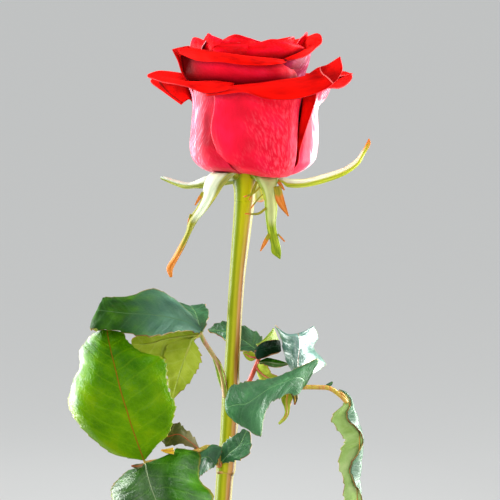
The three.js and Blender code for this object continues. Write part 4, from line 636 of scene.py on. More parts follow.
def makeLeafMaterial(name, look):
    gloss = {"Roughness": look["gloss"], "Specular IOR Level": look["shine"]}
    material, tree, shader = newMaterial(name, gloss)
    uv, widthShare, lengthShare = sheetPlaces(tree)
    flat = addNode(tree, "SeparateXYZ", {0: uv})
    across = addNode(tree, "Math", {0: flat.outputs["X"]}, operation="ABSOLUTE")
    wobble = addNode(tree, "TexNoise", {"Vector": uv, "Scale": 1 / (7 * mm), "Detail": 2.0})
    # side veins leave the midrib forwards and bend on towards the tip
    lead = addNode(tree, "Math", {0: across, 1: 1 / (sideVeins["over"] * mm)}, operation="MULTIPLY")
    lead = addNode(tree, "Math", {0: lead, 1: sideVeins["bend"]}, operation="POWER")
    lead = addNode(tree, "Math", {0: lead, 1: -sideVeins["lead"] * mm, 2: flat.outputs["Y"]},
                   operation="MULTIPLY_ADD")
    course = addNode(tree, "Math", {0: wobble, 1: 2.4 * mm, 2: lead}, operation="MULTIPLY_ADD")
    saw = addNode(tree, "Math", {0: course, 1: sideVeins["step"] / 2 * mm}, operation="PINGPONG")
    side = addNode(tree, "MapRange", {"Value": saw, 1: 0.0, 2: 0.6 * mm, 3: look["veins"], 4: 0.0})
    middle = addNode(tree, "MapRange", {"Value": across, 1: 0.08 * mm, 2: 0.36 * mm, 3: 0.8, 4: 0.0})
    cells = addNode(tree, "TexVoronoi", {"Vector": uv, "Scale": 1 / (1.8 * mm)}, feature="DISTANCE_TO_EDGE")
    net = addNode(tree, "MapRange", {"Value": cells, 1: 0.0, 2: 0.12, 3: 1.0, 4: 0.0})
    tone = addNode(tree, "TexNoise", {"Vector": uv, "Scale": 1 / (11 * mm), "Detail": 4.0})
    colour = addNode(tree, "ValToRGB", {0: tone}, stops=list(zip((0.32, 0.5, 0.7), look["upper"])))
    if "far" in look:  # other colours from a place on towards the tip
        other = addNode(tree, "ValToRGB", {0: tone}, stops=list(zip((0.32, 0.5, 0.7), look["far"])))
        turned = addNode(tree, "Math", {0: tone, 1: 0.3, 2: lengthShare}, operation="MULTIPLY_ADD")
        first, last = look["farFrom"]
        turned = addNode(tree, "MapRange", {"Value": turned, 1: first + 0.15, 2: last + 0.15})
        colour = addNode(tree, "Mix", {0: turned, 6: colour, 7: other}, data_type="RGBA")
    if "waxSheen" in look:  # painted sheen: pale streaks of painted reflection along the left margin, none near the stalk
        shade, first, last = look["waxSheen"]
        along = addNode(tree, "CombineXYZ", {0: course, 1: across})
        streak = addNode(tree, "TexNoise", {"Vector": along, "Scale": 1 / (6 * mm), "Detail": 3.0})
        film = addNode(tree, "Math", {0: streak, 1: 0.5, 2: widthShare}, operation="MULTIPLY_ADD")
        film = addNode(tree, "MapRange", {"Value": film, 1: first, 2: last, 3: 0.85, 4: 0.0})
        past = addNode(tree, "MapRange", {"Value": lengthShare, 1: 0.3, 2: 0.5})
        film = addNode(tree, "Math", {0: film, 1: past}, operation="MULTIPLY")
        colour = addNode(tree, "Mix", {0: film, 6: colour, 7: toLinear(shade)}, data_type="RGBA")
    share = addNode(tree, "Math", {0: net, 1: look["veins"] * 0.45}, operation="MULTIPLY")
    colour = addNode(tree, "Mix", {0: share, 6: colour, 7: toLinear(look["vein"])}, data_type="RGBA")
    colour = addNode(tree, "Mix", {0: side, 6: colour, 7: toLinear(look["vein"])}, data_type="RGBA")
    colour = addNode(tree, "Mix", {0: middle, 6: colour, 7: toLinear(look["midrib"])}, data_type="RGBA")
    reach = addNode(tree, "Math", {0: widthShare, 1: 2.0, 2: -1.0}, operation="MULTIPLY_ADD")
    reach = addNode(tree, "Math", {0: reach}, operation="ABSOLUTE")
    border = addNode(tree, "Math", {0: wobble, 1: 0.1, 2: reach}, operation="MULTIPLY_ADD")
    rim = addNode(tree, "MapRange", {"Value": border, 1: 1.0, 2: 1.06, 3: 0.0, 4: 0.4})
    colour = addNode(tree, "Mix", {0: rim, 6: colour, 7: toLinear(leafEdge[1])}, data_type="RGBA")
    if "polish" in look:  # wax that differs from the left margin over to the rest
        waxSheen, first, last = look["polish"]
        polish = addNode(tree, "MapRange", {"Value": widthShare, 1: first, 2: last, 3: waxSheen, 4: look["shine"]})
        tree.links.new(polish.outputs[0], shader.inputs["Specular IOR Level"])
    height = addNode(tree, "Math", {0: side, 1: middle}, operation="MAXIMUM")
    height = addNode(tree, "Math", {0: net, 1: 0.25, 2: height}, operation="MULTIPLY_ADD")
    # fine pleats that run with the side veins
    pleat = addNode(tree, "Math", {0: across, 1: 0.2}, operation="MULTIPLY")
    pleat = addNode(tree, "CombineXYZ", {0: course, 1: pleat})
    pleats = addNode(tree, "TexNoise", {"Vector": pleat, "Scale": 1 / (2.2 * mm), "Detail": 2.0})
    height = addNode(tree, "Math", {0: pleats, 1: -1.5, 2: height}, operation="MULTIPLY_ADD")
    height = addNode(tree, "Math", {0: height, 1: -look["relief"]}, operation="MULTIPLY")
    finishMaterial(tree, shader, colour, height, strength=0.6, depth=0.7)
    return material


# thin sawn margin of a leaf, dried to rust and straw
def makeLeafEdgeMaterial():
    material, tree, shader = newMaterial("rose leaf, dried margin", {"Roughness": 0.6})
    place = addNode(tree, "TexCoord").outputs["Object"]
    tone = addNode(tree, "TexNoise", {"Vector": place, "Scale": 1 / (5 * mm), "Detail": 2.0})
    colour = addNode(tree, "ValToRGB", {0: tone}, stops=list(zip((0.38, 0.5, 0.62), leafEdge)))
    finishMaterial(tree, shader, colour)
    return material


# sizes in mm; the rib is thickest where it joins the stalk
leafDetail = {"wall": 0.5, "tooth": 1.3, "lobe": 1.1, "quilt": 0.6, "uneven": 0.5, "columns": 32,
              "leastRows": 36, "rowsPerTooth": 6, "rib": 0.3, "ribShares": (2, 1.8, 1.4, 1.2, 1, 0.8, 0.5),
              "ribDrop": 0.4, "ribSides": 8, "ribRows": 36, "stipuleRows": 24, "stipuleColumns": 12}
stalkDetail = {"root": 1.6, "radius": 1.05, "end": 0.9, "sides": 16, "rows": 60}

# A blade is a net of grid points, rows from base to tip and columns from one margin over the midrib to the
# other, or a rib with the way its upper side faces, half widths in mm and folds in degrees.
leaves = {
    "leaf_upper_left": {
        "stalk": [(226, 398, -2), (222.5, 380, -3.4), (218.5, 366, -4.4), (211, 353, -5.5), (204, 342, -7),
                  (200, 333, -8.3)],
        "bark": "tan", "ribs": "pale",
        "wing": {"to": 4, "half": 2.2, "face": [(-0.6, -0.7, 0.4), (-0.5, -0.6, 0.6)]},
        "blades": [
            {"net": [
                [(199, 334, -9), (199.5, 333, -9), (200, 332, -8), (201, 331, -7), (201.5, 330, -6)],
                [(186, 331.5, -17), (186, 327, -15), (187, 323, -12), (188, 317, -7), (190, 314, 0)],
                [(168, 334, -25), (168, 327, -22), (168, 318, -17), (170, 306, -8), (172, 298, 3)],
                [(148, 336.5, -31), (148, 328, -28), (148, 315, -21), (150, 300, -10), (152, 290, 3)],
                [(126, 335, -33), (126, 326, -31), (127, 314, -24), (129, 302, -14), (131, 296.5, -4)],
                [(106, 331.5, -33), (107, 322, -32), (108, 312, -27), (110, 303, -19), (112, 298, -11)],
                [(90.5, 329, -30), (93, 320, -29.5), (97, 311, -26), (101, 303, -20), (103, 298.5, -14)],
                [(93, 331, -20), (94.5, 323, -19), (98, 315, -17), (102, 307, -13), (105, 302, -9)],
                [(103, 331, -10), (103, 326, -10), (103, 322, -10), (103, 318, -9), (104, 314, -8)],
             ], "teeth": 13, "look": "arched"},
            {"rib": [(192, 340, -9), (186, 355, -9.5), (179, 375, -9.5), (172, 400, -9.5)],
             "face": [(0.2, 1, 0.1), (0.2, 1, 0.1)], "left": [1, 9.5, 8.4, 5, 0.6],
             "right": [1, 6, 7.5, 5, 0.6], "fold": (6, 6), "teeth": 8, "wave": 0.6, "look": "dark"},
            {"rib": [(199, 335, -8), (180, 337, -9), (162, 340, -9.5), (148, 344, -10), (131, 345, -10)],
             "face": [(-0.2, 0.85, 0.5), (-0.4, 0.8, 0.4)], "left": [1, 8, 9, 8, 2],
             "right": [1, 10, 13, 12, 5], "fold": (8, 8), "teeth": 8, "wave": 0.6, "look": "dark"},
            {"rib": [(201, 333, -7), (197, 319, 0), (193, 310, 9), (189, 307, 20), (186, 316, 30)],
             "face": [(0.2, -0.5, 0.85), (0.1, 0, 1)], "left": [1, 7, 8, 6, 0.8],
             "right": [1, 5.2, 6, 5, 0.8], "fold": (18, 10), "teeth": 7, "wave": 0.6, "look": "dark"},
        ],
    },
    "leaf_lower_left": {
        "stalk": [(219.5, 468, -2.6), (215, 452, -6), (207, 449, -9), (199, 452, -12), (173, 460, -23),
                  (145, 465, -33.5)],
        "bark": "rust",
        "wing": {"to": 2, "half": 3, "face": [(-0.6, -0.5, 0.6), (-0.4, -0.5, 0.8)]},
        "blades": [
            {"net": [
                [(141, 462, -33.5), (141.5, 462, -34), (142, 462, -34), (143, 462, -34), (144, 461.5, -34),
                 (144.5, 461, -34), (145, 461, -33.5)],
                [(113, 456, -33.5), (119, 455, -34), (129, 453, -35), (139, 451, -35), (146, 450, -35.5),
                 (152, 449, -35), (156, 447, -34)],
                [(90, 439, -34.5), (100, 440, -35.5), (117, 440, -36.5), (134.5, 438, -36), (148, 437, -36.5),
                 (160, 436, -36), (169, 434, -34.5)],
                [(76, 423, -33), (88, 424, -36), (108, 427, -37.5), (130, 425, -36.5), (147, 424, -37),
                 (163, 422, -36.3), (173, 420, -34.5)],
                [(66.5, 406, -28), (79, 409, -35), (101, 414, -38), (126, 411.5, -36.5), (146, 411, -37),
                 (164, 408, -36), (174.5, 406, -34)],
                [(70, 392, -25), (79, 395, -33), (98, 400, -37.5), (122, 399, -36), (141, 398, -36.5),
                 (158, 395, -35), (168.5, 392, -33)],
                [(73, 380, -23), (82, 382, -31.5), (97, 386, -36.5), (118.5, 386, -35), (137, 385, -35.2),
                 (155, 382, -33.5), (166.5, 380, -31)],
                [(80, 368, -21), (87, 369, -29.5), (99, 372, -34.5), (115.5, 373, -33), (133, 373, -33.2),
                 (152, 370, -31.5), (166, 366, -28.5)],
                [(79, 352, -20), (88, 356, -28), (99, 360, -32.5), (112.5, 361, -31), (128, 361, -31),
                 (145, 360, -29), (161, 358, -25.5)],
                [(84, 344, -19.5), (91, 347, -26), (100, 350, -30.5), (110, 350.5, -30), (120, 351, -30),
                 (131, 351.5, -28), (141, 353, -25)],
                [(90.5, 336, -21), (95, 339, -25), (101, 341, -28), (108, 341, -27.5), (115, 341, -27.5),
                 (122, 341.5, -26.5), (129, 344, -25)],
                [(99, 330.5, -25), (102, 330.5, -25.5), (104, 330.5, -26), (106.5, 330.5, -26),
                 (110, 331, -26), (116, 331.5, -25.5), (122, 333, -25)],
             ], "teeth": 20, "look": "bright"},
            {"net": [
                [(176, 450, -24), (170, 455, -30), (158, 461, -33), (144.5, 466, -34), (140, 469, -34),
                 (134, 471, -33), (127, 473, -31)],
                [(199, 455, -14), (184, 458, -27), (165, 467, -37), (147, 478, -39), (138, 480, -40),
                 (127, 482, -38), (116, 483, -33)],
                [(198, 470, -16), (184, 473, -30), (167, 479, -40), (150.5, 490, -42), (138, 492, -43),
                 (124, 493, -41), (111, 491, -35)],
                [(200, 484, -18), (188, 487, -32), (170, 492, -42), (155, 502, -44), (141, 504, -45),
                 (126, 505, -43), (111, 503, -37)],
                [(213, 498, -22), (196, 502, -34), (176, 506, -43), (160, 514, -45), (146, 517, -45),
                 (132, 519, -43), (118, 518, -38)],
                [(208, 522, -28), (194, 523, -36), (180, 525, -42), (167, 529, -43), (155, 531, -43),
                 (143, 532, -41), (132, 532, -37)],
                [(182, 540, -40), (179.5, 540, -40), (177, 540, -40), (175, 540, -40), (172, 540, -40),
                 (170, 540, -39), (168, 540, -38)],
             ], "teeth": 13, "look": "sunlit"},
            {"net": [
                [(199, 453, -12), (199.5, 452, -12), (200, 451, -12)],
                [(190, 448, -13), (189, 443, -14), (193, 438, -12)],
                [(179, 445, -14), (178, 436, -15.5), (184, 430, -13)],
                [(167, 449, -14), (167, 438, -16), (178, 424.5, -14)],
                [(160, 441, -14), (163, 434, -15), (168, 427, -14)],
             ], "teeth": 5, "look": "aged", "under": "aged"},
            {"net": [
                [(213, 470, -4.5), (214, 468.5, -5), (215, 467, -5.5), (216.5, 465, -6), (218, 462, -6)],
                [(208, 472, -10), (209, 466, -9), (209.5, 460, -8.5), (214, 454, -9), (222, 450, -10)],
                [(204, 475, -12), (205, 467, -12), (205, 459, -12), (208, 452, -11), (213, 447, -9)],
                [(200, 478, -13), (200, 470, -14), (200, 461, -14), (201, 455, -12), (203, 450, -9)],
                [(197.5, 481, -13), (196, 474, -14.5), (195, 468, -15), (194.5, 463, -13), (195, 458.5, -10)],
                [(196.5, 483, -12.5), (195, 480, -13), (194, 476, -13.5), (193, 472, -12.5),
                 (192.5, 468, -11)],
             ], "teeth": 7, "look": "dark"},
            {"rib": [(222, 464, -5), (230, 455, -7.5), (240, 446, -8.5), (247, 432, -8)],
             "face": [(-0.3, -0.9, 0.4), (-0.2, -0.9, 0.3)], "left": [1, 5, 5.4, 1.5],
             "right": [1, 5, 6, 1.5], "fold": (10, 6), "teeth": 6, "wave": 0.3, "look": "dark"},
            {"rib": [(173, 453, -30), (166, 453, -31), (160.5, 452, -31)],
             "face": [(0, -0.9, 0.4), (0, -0.9, 0.4)], "left": [1.6, 1, 0.3], "right": [1.6, 1, 0.3],
             "fold": (5, 5), "look": "yellowed"},
            {"rib": [(143, 467, -34), (136, 468.5, -35), (130.5, 468, -35)],
             "face": [(0, -0.9, 0.4), (0, -0.9, 0.4)], "left": [0.8, 1, 0.3], "right": [0.8, 1, 0.3],
             "fold": (5, 5), "look": "aged"},
        ],
    },
    "leaf_upper_right": {
        "stalk": [(236, 404, 4.3), (243, 392, 4.6), (250, 381, 4.6), (255, 369, 4.4), (261, 355, 4.6)],
        "bark": "red",
        "wing": {"to": 2, "half": 2, "face": [(0.5, -0.7, 0.5), (0.5, -0.6, 0.6)]},
        "blades": [
            {"rib": [(261, 354, 5.5), (250, 346, 10), (238, 338, 13), (222, 332, 12), (208, 331, 9)],
             "face": [(0.1, -0.6, 0.8), (0, -0.7, 0.7)], "left": [1, 7, 7, 5, 0.6],
             "right": [1, 7, 7, 5, 0.6], "fold": (6, 6), "teeth": 8, "wave": 0.5, "look": "dark"},
            {"net": [
                [(255, 350, 2), (255, 352, 1.5), (255, 353, 1)],
                [(260, 345, 1), (259, 351, -1), (257, 360, -2)],
                [(265.5, 342, 3), (266, 349, 1), (264, 358.5, -2)],
                [(271, 341, 5), (272, 348, 4), (271, 356, -1)],
                [(277, 340.5, 7), (278, 347, 6), (278, 354, 1)],
                [(279.5, 341.5, 9), (280.5, 346, 8), (281, 352, 4)],
             ], "look": "paintedShade"},
            # painted light: this part's yellow-green stands for light shining through the leaf from behind
            {"net": [
                [(256, 345, 3), (258, 347.5, 2.5), (258, 350, 2)],
                [(261.5, 342.5, 3.5), (262, 343.5, 3), (263, 345, 2.5)],
                [(267, 337, 6), (266.5, 340, 4), (266, 342, 3)],
                [(271.5, 331, 9), (271.5, 336, 7), (271, 341, 5)],
                [(273.5, 329, 10.5), (275, 334, 9.5), (276, 340.7, 7.5)],
                [(275.5, 334, 11), (277, 338, 10.5), (278.5, 341, 9.5)],
             ], "look": "young"},
            {"rib": [(259, 363.5, 3), (268, 363.5, 3.5), (278, 365, 4), (288, 365, 4.5)],
             "face": [(0, -0.8, 0.6), (0, -0.8, 0.6)], "left": [0.8, 2.2, 2, 0.4],
             "right": [0.8, 2, 1.8, 0.4], "fold": (6, 6), "wave": 0.2, "look": "sunlit"},
            {"rib": [(256, 366, 4.6), (261, 373, 2.5), (268, 378, 1.5), (279, 380, 1)],
             "face": [(0.2, 0.8, 0.6), (0.1, 0.7, 0.7)], "left": [1, 4, 4.5, 2, 0.6],
             "right": [1, 4, 4.5, 3, 0.6], "fold": (10, 10), "teeth": 4, "wave": 0.3, "look": "dark"},
            {"rib": [(256, 358, 5), (250, 357, 5.5), (243, 353, 6)], "face": [(0, 0.9, 0.4), (0, 0.9, 0.4)],
             "left": [1, 2.6, 0.4], "right": [1, 2.4, 0.4], "fold": (8, 8), "wave": 0.2, "look": "dark"},
        ],
    },
    "leaf_lower_right": {
        "stalk": [(235, 420, -3), (262, 403, -6), (288, 391, -7.5), (304, 388.5, -7.4), (318, 388.5, -7),
                  (330, 389.5, -6.5), (340, 396, -6.2), (347.5, 404, -5.8)],
        "bark": "yellow",
        "wing": {"to": 2, "half": 1.8, "face": [(0.3, -0.6, 0.7), (0, -0.4, 0.9)]},
        "blades": [
            {"net": [
                [(303.5, 388.5, -8), (304, 388, -8), (304.5, 387.5, -8), (306, 386, -8), (307.5, 384, -8)],
                [(297, 396, -12), (300, 389, -12), (304, 381, -11), (309, 374, -10), (315, 369, -9)],
                [(287, 394.5, -15), (292, 387, -16), (298, 378, -15), (307, 368, -13), (317.5, 360, -11)],
                [(279, 399, -18), (281, 391, -19.5), (284, 383, -19), (289, 377, -17.5), (295, 369.5, -16)],
                [(270, 404, -20), (269, 396, -22.5), (270, 389, -22.5), (272, 384, -21), (276, 378.5, -19)],
                [(264, 419, -21), (259, 407, -24.5), (257, 398, -25), (257, 389, -24), (259, 381, -21.5)],
                [(260.5, 438, -20), (250, 418, -25.5), (246, 405, -26.5), (245, 394, -25.5),
                 (246, 382.8, -22.5)],
                [(246, 429.5, -21), (239, 417, -25.5), (236, 406, -26), (235, 395, -25), (237, 385, -23)],
                [(236, 424, -22), (230, 415, -24.5), (228, 408, -25), (227, 400, -24.5), (231, 387, -23)],
                [(227, 416, -23), (225.5, 411, -23.5), (225, 406, -23.5), (225.5, 401, -23.5),
                 (228.5, 393, -23)],
             ], "teeth": 12, "look": "lying"},
            {"net": [
                [(300, 380, -5), (301, 380, -5), (302, 380, -5), (303, 380, -5), (304, 380, -5)],
                [(290.5, 369, -1), (294.5, 368, -5), (298.3, 367, -5.5), (308, 366, -1), (320, 371, 8)],
                [(286.5, 359, 2), (292.5, 358, -3), (298.8, 356, -3.5), (309, 357, 0), (325.5, 364, 14)],
                [(283, 347, 4), (291, 347, -1.5), (300, 345, -1.5), (307, 347, 4), (313.5, 349, 12)],
                [(280.3, 337.5, 6), (288.5, 338, 0.5), (299, 337, 0), (308, 338, 6), (318, 336, 14)],
                [(275.2, 325.5, 8), (286.5, 334.5, 4), (298, 334.2, 4), (307, 330.5, 9), (313, 326.5, 14)],
             ], "teeth": 5, "look": "waxed"},
            {"net": [
                [(337, 394.5, -6), (337.3, 394, -6), (338, 393.5, -6), (339, 392, -6), (340, 390.8, -6),
                 (340, 391.5, -6.5)],
                [(342, 400, -6), (342.5, 399.5, -6), (343.5, 398.5, -5.8), (345.5, 396, -5.5),
                 (347.5, 394.5, -5), (347.5, 397, -5.5)],
                [(343.5, 405.5, -6), (345.5, 404.5, -6), (347.5, 403.5, -5.5), (349.5, 402.5, -4.5),
                 (352.5, 402.5, -4), (351.5, 405, -5)],
                [(332, 419, -9), (340, 417.5, -7.5), (350, 416, -4), (354, 416, -1), (356.8, 417.5, -3),
                 (347, 419, -7.5)],
                [(338, 432, -8), (346, 431.5, -7), (356.5, 430.5, -4.5), (359, 430, -2), (361.5, 431, -3),
                 (359, 432, -6)],
                [(344.5, 442, -7), (350, 441, -6.5), (357.5, 441, -5), (361, 440, -4), (363.8, 440, -4),
                 (363.9, 441, -4.4)],
                [(342, 450, -7), (349, 450, -7), (357, 450, -5), (361, 450, -3), (363.5, 450, -3.6),
                 (361.5, 451, -6)],
                [(340, 468, -8), (347, 467, -7.5), (355, 466, -5), (359.5, 466, -2), (361.5, 466.5, -3.5),
                 (351, 468, -8)],
                [(344, 483, -8), (349, 482, -7.5), (354, 482, -5), (358, 482, -2), (360.2, 482, -3.5),
                 (354, 484, -7.5)],
                [(344.5, 499, -7.5), (350, 498, -7), (355.5, 498, -5.5), (359, 497, -4), (361.8, 497, -4),
                 (362, 499, -4.6)],
                [(345, 516, -7), (350, 515, -7), (355, 515, -6), (359, 514, -5), (362, 514, -5),
                 (362.5, 515, -5.4)],
                [(353, 534, -6), (353.5, 534, -6), (354, 534, -6), (354.5, 534, -6), (355, 534, -6),
                 (355.5, 534, -6)],
             ], "teeth": 16, "look": "dark", "under": "pale"},
            {"rib": [(288, 393, -7.5), (287, 402, -8.5), (287.5, 410, -9), (286, 418, -9),
                     (279, 425.5, -8.5)],
             "face": [(0.2, 0.9, 0.2), (0.2, 0.9, 0.2)], "left": [3.2, 2.6, 1.2, 0.9, 0.5],
             "right": [3.6, 2.2, 1.1, 0.9, 0.5], "fold": (20, 20), "wave": 0.2, "look": "dark"},
            {"rib": [(293, 393, -8), (295.5, 399, -8.5), (295, 406, -8.5)],
             "face": [(0.2, 0.9, 0.2), (0.2, 0.9, 0.2)], "left": [1.6, 1.2, 0.3], "right": [1.6, 1.2, 0.3],
             "fold": (10, 10), "look": "aged", "under": "aged"},
            {"rib": [(325, 388, -6.5), (330, 386, -6), (333, 383, -5.5)],
             "face": [(0.3, -0.7, 0.6), (0.3, -0.7, 0.6)], "left": [0.4, 1, 0.3], "right": [0.4, 0.8, 0.3],
             "fold": (5, 5), "look": "dark"},
        ],
    },
}


# a rib blade's middle surface: row from base to tip, column from the left margin to the right
def ribShape(blade):
    ribPoints = [placed(point) for point in blade["rib"]]
    frames = {}

    def frameAt(row):
        centre = Vector(smoothPoint(ribPoints, row))
        tangent = lineCourse(ribPoints, row)
        face = Vector(blade["face"][0]).lerp(Vector(blade["face"][1]), row)
        face = (face - face.dot(tangent) * tangent).normalized()
        return centre, face, tangent.cross(face)

    def shape(row, column):
        if row not in frames:
            frames[row] = frameAt(row)
        centre, face, right = frames[row]
        v = 2 * column - 1
        reach = abs(v)
        width = max(smoothed(blade["left"] if v < 0 else blade["right"], row), 0.3)
        rise = math.radians(mix(*blade["fold"], row))
        wave = blade.get("wave", 0) * reach**2 * math.sin(9 * row + (0 if v < 0 else 2.6))
        wave *= math.sin(math.pi * row)
        sign = (v > 0) - (v < 0)
        flat = width * reach
        return centre + right * sign * (flat * math.cos(rise)) + face * (flat * math.sin(rise) + wave)

    return shape


# the same with its saw teeth: the margin steps in and out along the blade's own surface, unevenly
def sawnShape(shape, teeth):
    def sawn(row, column):
        point = shape(row, column)
        reach = abs(2 * column - 1)
        if not teeth or reach < 0.6 or row in (0.0, 1.0):
            return point
        inner = shape(row, column + (0.08 if column < 0.5 else -0.08))
        side = 0 if column < 0.5 else 7
        course = row * teeth + 0.6 * noise.noise(Vector((row * teeth * 0.7, side, teeth)))
        uneven = 0.75 + 0.5 * noise.noise(Vector((math.floor(course) * 3.7, side, teeth)))
        lobe = leafDetail["lobe"] * noise.noise(Vector((row * teeth * 0.35, side + 3, teeth)))
        out = leafDetail["tooth"] * uneven * ((course % 1) ** 1.6 - 0.4) + lobe * math.sin(math.pi * row)
        return point + (point - inner).normalized() * out * ((reach - 0.6) / 0.4) ** 2

    return sawn


# a round rod through points with a radius each, closed at both ends
def rodMesh(name, points, radii, sides, rows, bumps=None):
    bm = bmesh.new()
    bmesh.ops.create_grid(bm, x_segments=sides, y_segments=rows, size=0.5)
    uvLayer = bm.loops.layers.uv.new("UVMap")
    length = sum((Vector(b) - Vector(a)).length for a, b in zip(points, points[1:]))
    for face in bm.faces:
        for loop in face.loops:
            loop[uvLayer].uv = ((loop.vert.co.x + 0.5) * 2 * math.pi * max(radii) * mm,
                                (loop.vert.co.y + 0.5) * length * mm)
    for vert in bm.verts:
        turn, u = (vert.co.x + 0.5) * 2 * math.pi, vert.co.y + 0.5
        centre = Vector(smoothPoint(points, u))
        tangent = lineCourse(points, u)
        side = Vector((0, 1, 0)) - tangent.y * tangent
        if abs(tangent.y) >= 0.9:
            side = tangent.cross(Vector((0, 0, 1)))
        side.normalize()
        other = tangent.cross(side)
        radius = smoothed(radii, u) + (bumps(u, turn) if bumps else 0)
        vert.co = (centre + side * radius * math.cos(turn) + other * radius * math.sin(turn)) * mm
    bmesh.ops.remove_doubles(bm, verts=bm.verts, dist=0.001 * mm)
    bmesh.ops.holes_fill(bm, edges=[e for e in bm.edges if e.is_boundary], sides=0)
    bmesh.ops.recalc_face_normals(bm, faces=bm.faces)
    for face in bm.faces:
        face.smooth = len(face.verts) == 4
    mesh = bpy.data.meshes.new(name)
    bm.to_mesh(mesh)
    bm.free()
    return mesh


def makeBlade(name, node, blade, materials, ribMaterial, start):
    shape = netShape(blade["net"]) if "net" in blade else ribShape(blade)
    steps = [shape(k / 20, 0.5) for k in range(21)]
    length = sum((b - a).length for a, b in zip(steps, steps[1:]))
    halves = [[(shape(k / 12, side) - shape(k / 12, 0.5)).length for k in range(13)] for side in (0, 1)]
    teeth = blade.get("teeth", 0)

    # between its side veins the blade swells a little, and it is never quite flat
    def swell(row, column):
        v = 2 * column - 1
        width = max(smoothed(halves[v > 0], row) * abs(v), 0)
        course = row * length - sideVeins["lead"] * (width / sideVeins["over"]) ** sideVeins["bend"]
        between = abs(math.sin(math.pi * course / sideVeins["step"])) ** 0.6
        quilt = leafDetail["quilt"] * (between - 0.5) * abs(v) * (1 - abs(v)) * 4
        uneven = leafDetail["uneven"] * noise.noise(Vector((v * 2.5, row * 5, length))) * abs(v)
        return (quilt + uneven) * math.sin(math.pi * clamp(row)) * min(1, length / 25)

    def patternPlace(row, column):
        return (2 * column - 1) * smoothed(halves[column > 0.5], row), row * length

    rows = max(leafDetail["leastRows"], leafDetail["rowsPerTooth"] * teeth)
    mesh = sheetMesh(name, rows, leafDetail["columns"], sawnShape(shape, teeth), patternPlace, swell)
    addPiece(name, mesh, node, materials, leafDetail["wall"], (1, 2))
    # the rib stands out below the blade and joins the stalk
    line = [start]
    for row in (0.0, 0.12, 0.3, 0.5, 0.7, 0.88):
        along = shape(min(row + 0.02, 1), 0.5) - shape(max(row - 0.02, 0), 0.5)
        across = shape(row, 0.56) - shape(row, 0.44)
        line.append(shape(row, 0.5) - across.cross(along).normalized() * leafDetail["ribDrop"])
    radii = [leafDetail["rib"] * share for share in leafDetail["ribShares"]]
    mesh = rodMesh(f"{name}_rib", line, radii, leafDetail["ribSides"], leafDetail["ribRows"])
    addPiece(f"{name}_rib", mesh, node, [ribMaterial])


def makeLeaves():
    looks = {name: makeLeafMaterial(f"rose leaf, {name}", look) for name, look in leafLook.items()}
    edge = makeLeafEdgeMaterial()
    barks = {name: makeStalkMaterial(f"rose leaf stalk, {name}", *colours)
             for name, colours in stalkColours.items()}
    for node, leaf in leaves.items():
        points = [placed(point) for point in leaf["stalk"]]
        radii = [stalkDetail["root"]] + [stalkDetail["radius"]] * (len(points) - 2) + [stalkDetail["end"]]
        mesh = rodMesh(f"{node}_stalk", points, radii, stalkDetail["sides"], stalkDetail["rows"])
        addPiece(f"{node}_stalk", mesh, node, [barks[leaf["bark"]]])
        # stipules run along the lower stalk as two small wings
        wing = leaf["wing"]
        half = [wing["half"] * 0.4, wing["half"], wing["half"] * 0.8, 0.5]
        rib = leaf["stalk"][: wing["to"]]
        stipule = ribShape({"rib": rib, "face": wing["face"], "left": half, "right": half, "fold": (15, 15)})
        rows, columns = leafDetail["stipuleRows"], leafDetail["stipuleColumns"]
        mesh = sheetMesh(f"{node}_stipules", rows, columns, stipule, lambda r, c: ((2 * c - 1) * 3, r * 20))
        faces = [looks["young"], looks["under"], edge]
        addPiece(f"{node}_stipules", mesh, node, faces, leafDetail["wall"], (1, 2))
        for k, blade in enumerate(leaf["blades"]):
            first = placed(blade["net"][0][len(blade["net"][0]) // 2] if "net" in blade else blade["rib"][0])
            start = min((Vector(smoothPoint(points, u / 30)) for u in range(31)),
                        key=lambda p: (p - first).length)
            faces = [looks[blade["look"]], looks[blade.get("under", "under")], edge]
            makeBlade(f"{node}_blade{k + 1}", node, blade, faces, barks[leaf.get("ribs", leaf["bark"])],
                      start)


# Green rose stem: smooth waxy bark in long stripes, olive and yellow-green with a run of tan and pink down
# one side, with painted highlights as pale stripes along its left and right edges and left of its front.
stem = {
    "points": [(-7.2, 0, 8.8), (-1.3, 0, 100), (4.9, 0, 192), (5.9, 0, 203), (7, 0, 216), (8, 0, 233),
               (8.7, 0, 250), (10.8, 0, 286), (13.1, 0, 310), (14.3, 0, 322.9)],
    "radii": [3.7, 3.7, 3.7, 4.3, 3.7, 3.9, 3.3, 3.4, 4.1, 4.5],
    # colours round the stem from its left over the front to its right, as (share of the turn, hex); the pale
    # ones near its left and right edges and the bright yellow left of its front are painted highlights
    "round": [(0.18, "#5c6808"), (0.27, "#949438"), (0.33, "#5c6804"), (0.43, "#707c04"), (0.475, "#a4a41c"),
              (0.53, "#988c14"), (0.56, "#b08854"), (0.6, "#8c6030"), (0.63, "#482c04"), (0.66, "#685410"),
              (0.73, "#9c985c"), (0.82, "#5c6808")],
    # the same near the top, with painted highlights at the edges and left of the front
    "top": [(0.18, "#647008"), (0.27, "#949834"), (0.34, "#4c5c00"), (0.43, "#687800"), (0.48, "#b4b400"),
            (0.57, "#aca400"), (0.62, "#80642c"), (0.7, "#9c9c60"), (0.82, "#647008")],
    "fresh": (285, 322),  # the heights between which the top's colours come in
    # an old bruise of brown on the front: the heights and the shares of the turn where it comes and goes
    "brown": "#6c4408", "bruise": (238, 252, 254, 268), "bruiseTurn": (0.5, 0.57, 0.57, 0.66),
    "bumps": 0.12, "sides": 40, "rows": 260,
}
stalkColours = {
    "pale": ["#7c9024", "#94a438", "#a49c3c", "#a4782c"],
    "tan": ["#6c8010", "#987c4c", "#986450", "#742418"],
    "rust": ["#7c7c24", "#98842c", "#a8642c", "#b0401c"],
    "red": ["#882818", "#a83c2c", "#c05844", "#8c2c1c"],
    "yellow": ["#a8901c", "#b09030", "#b4602c", "#8c2c14"],
}


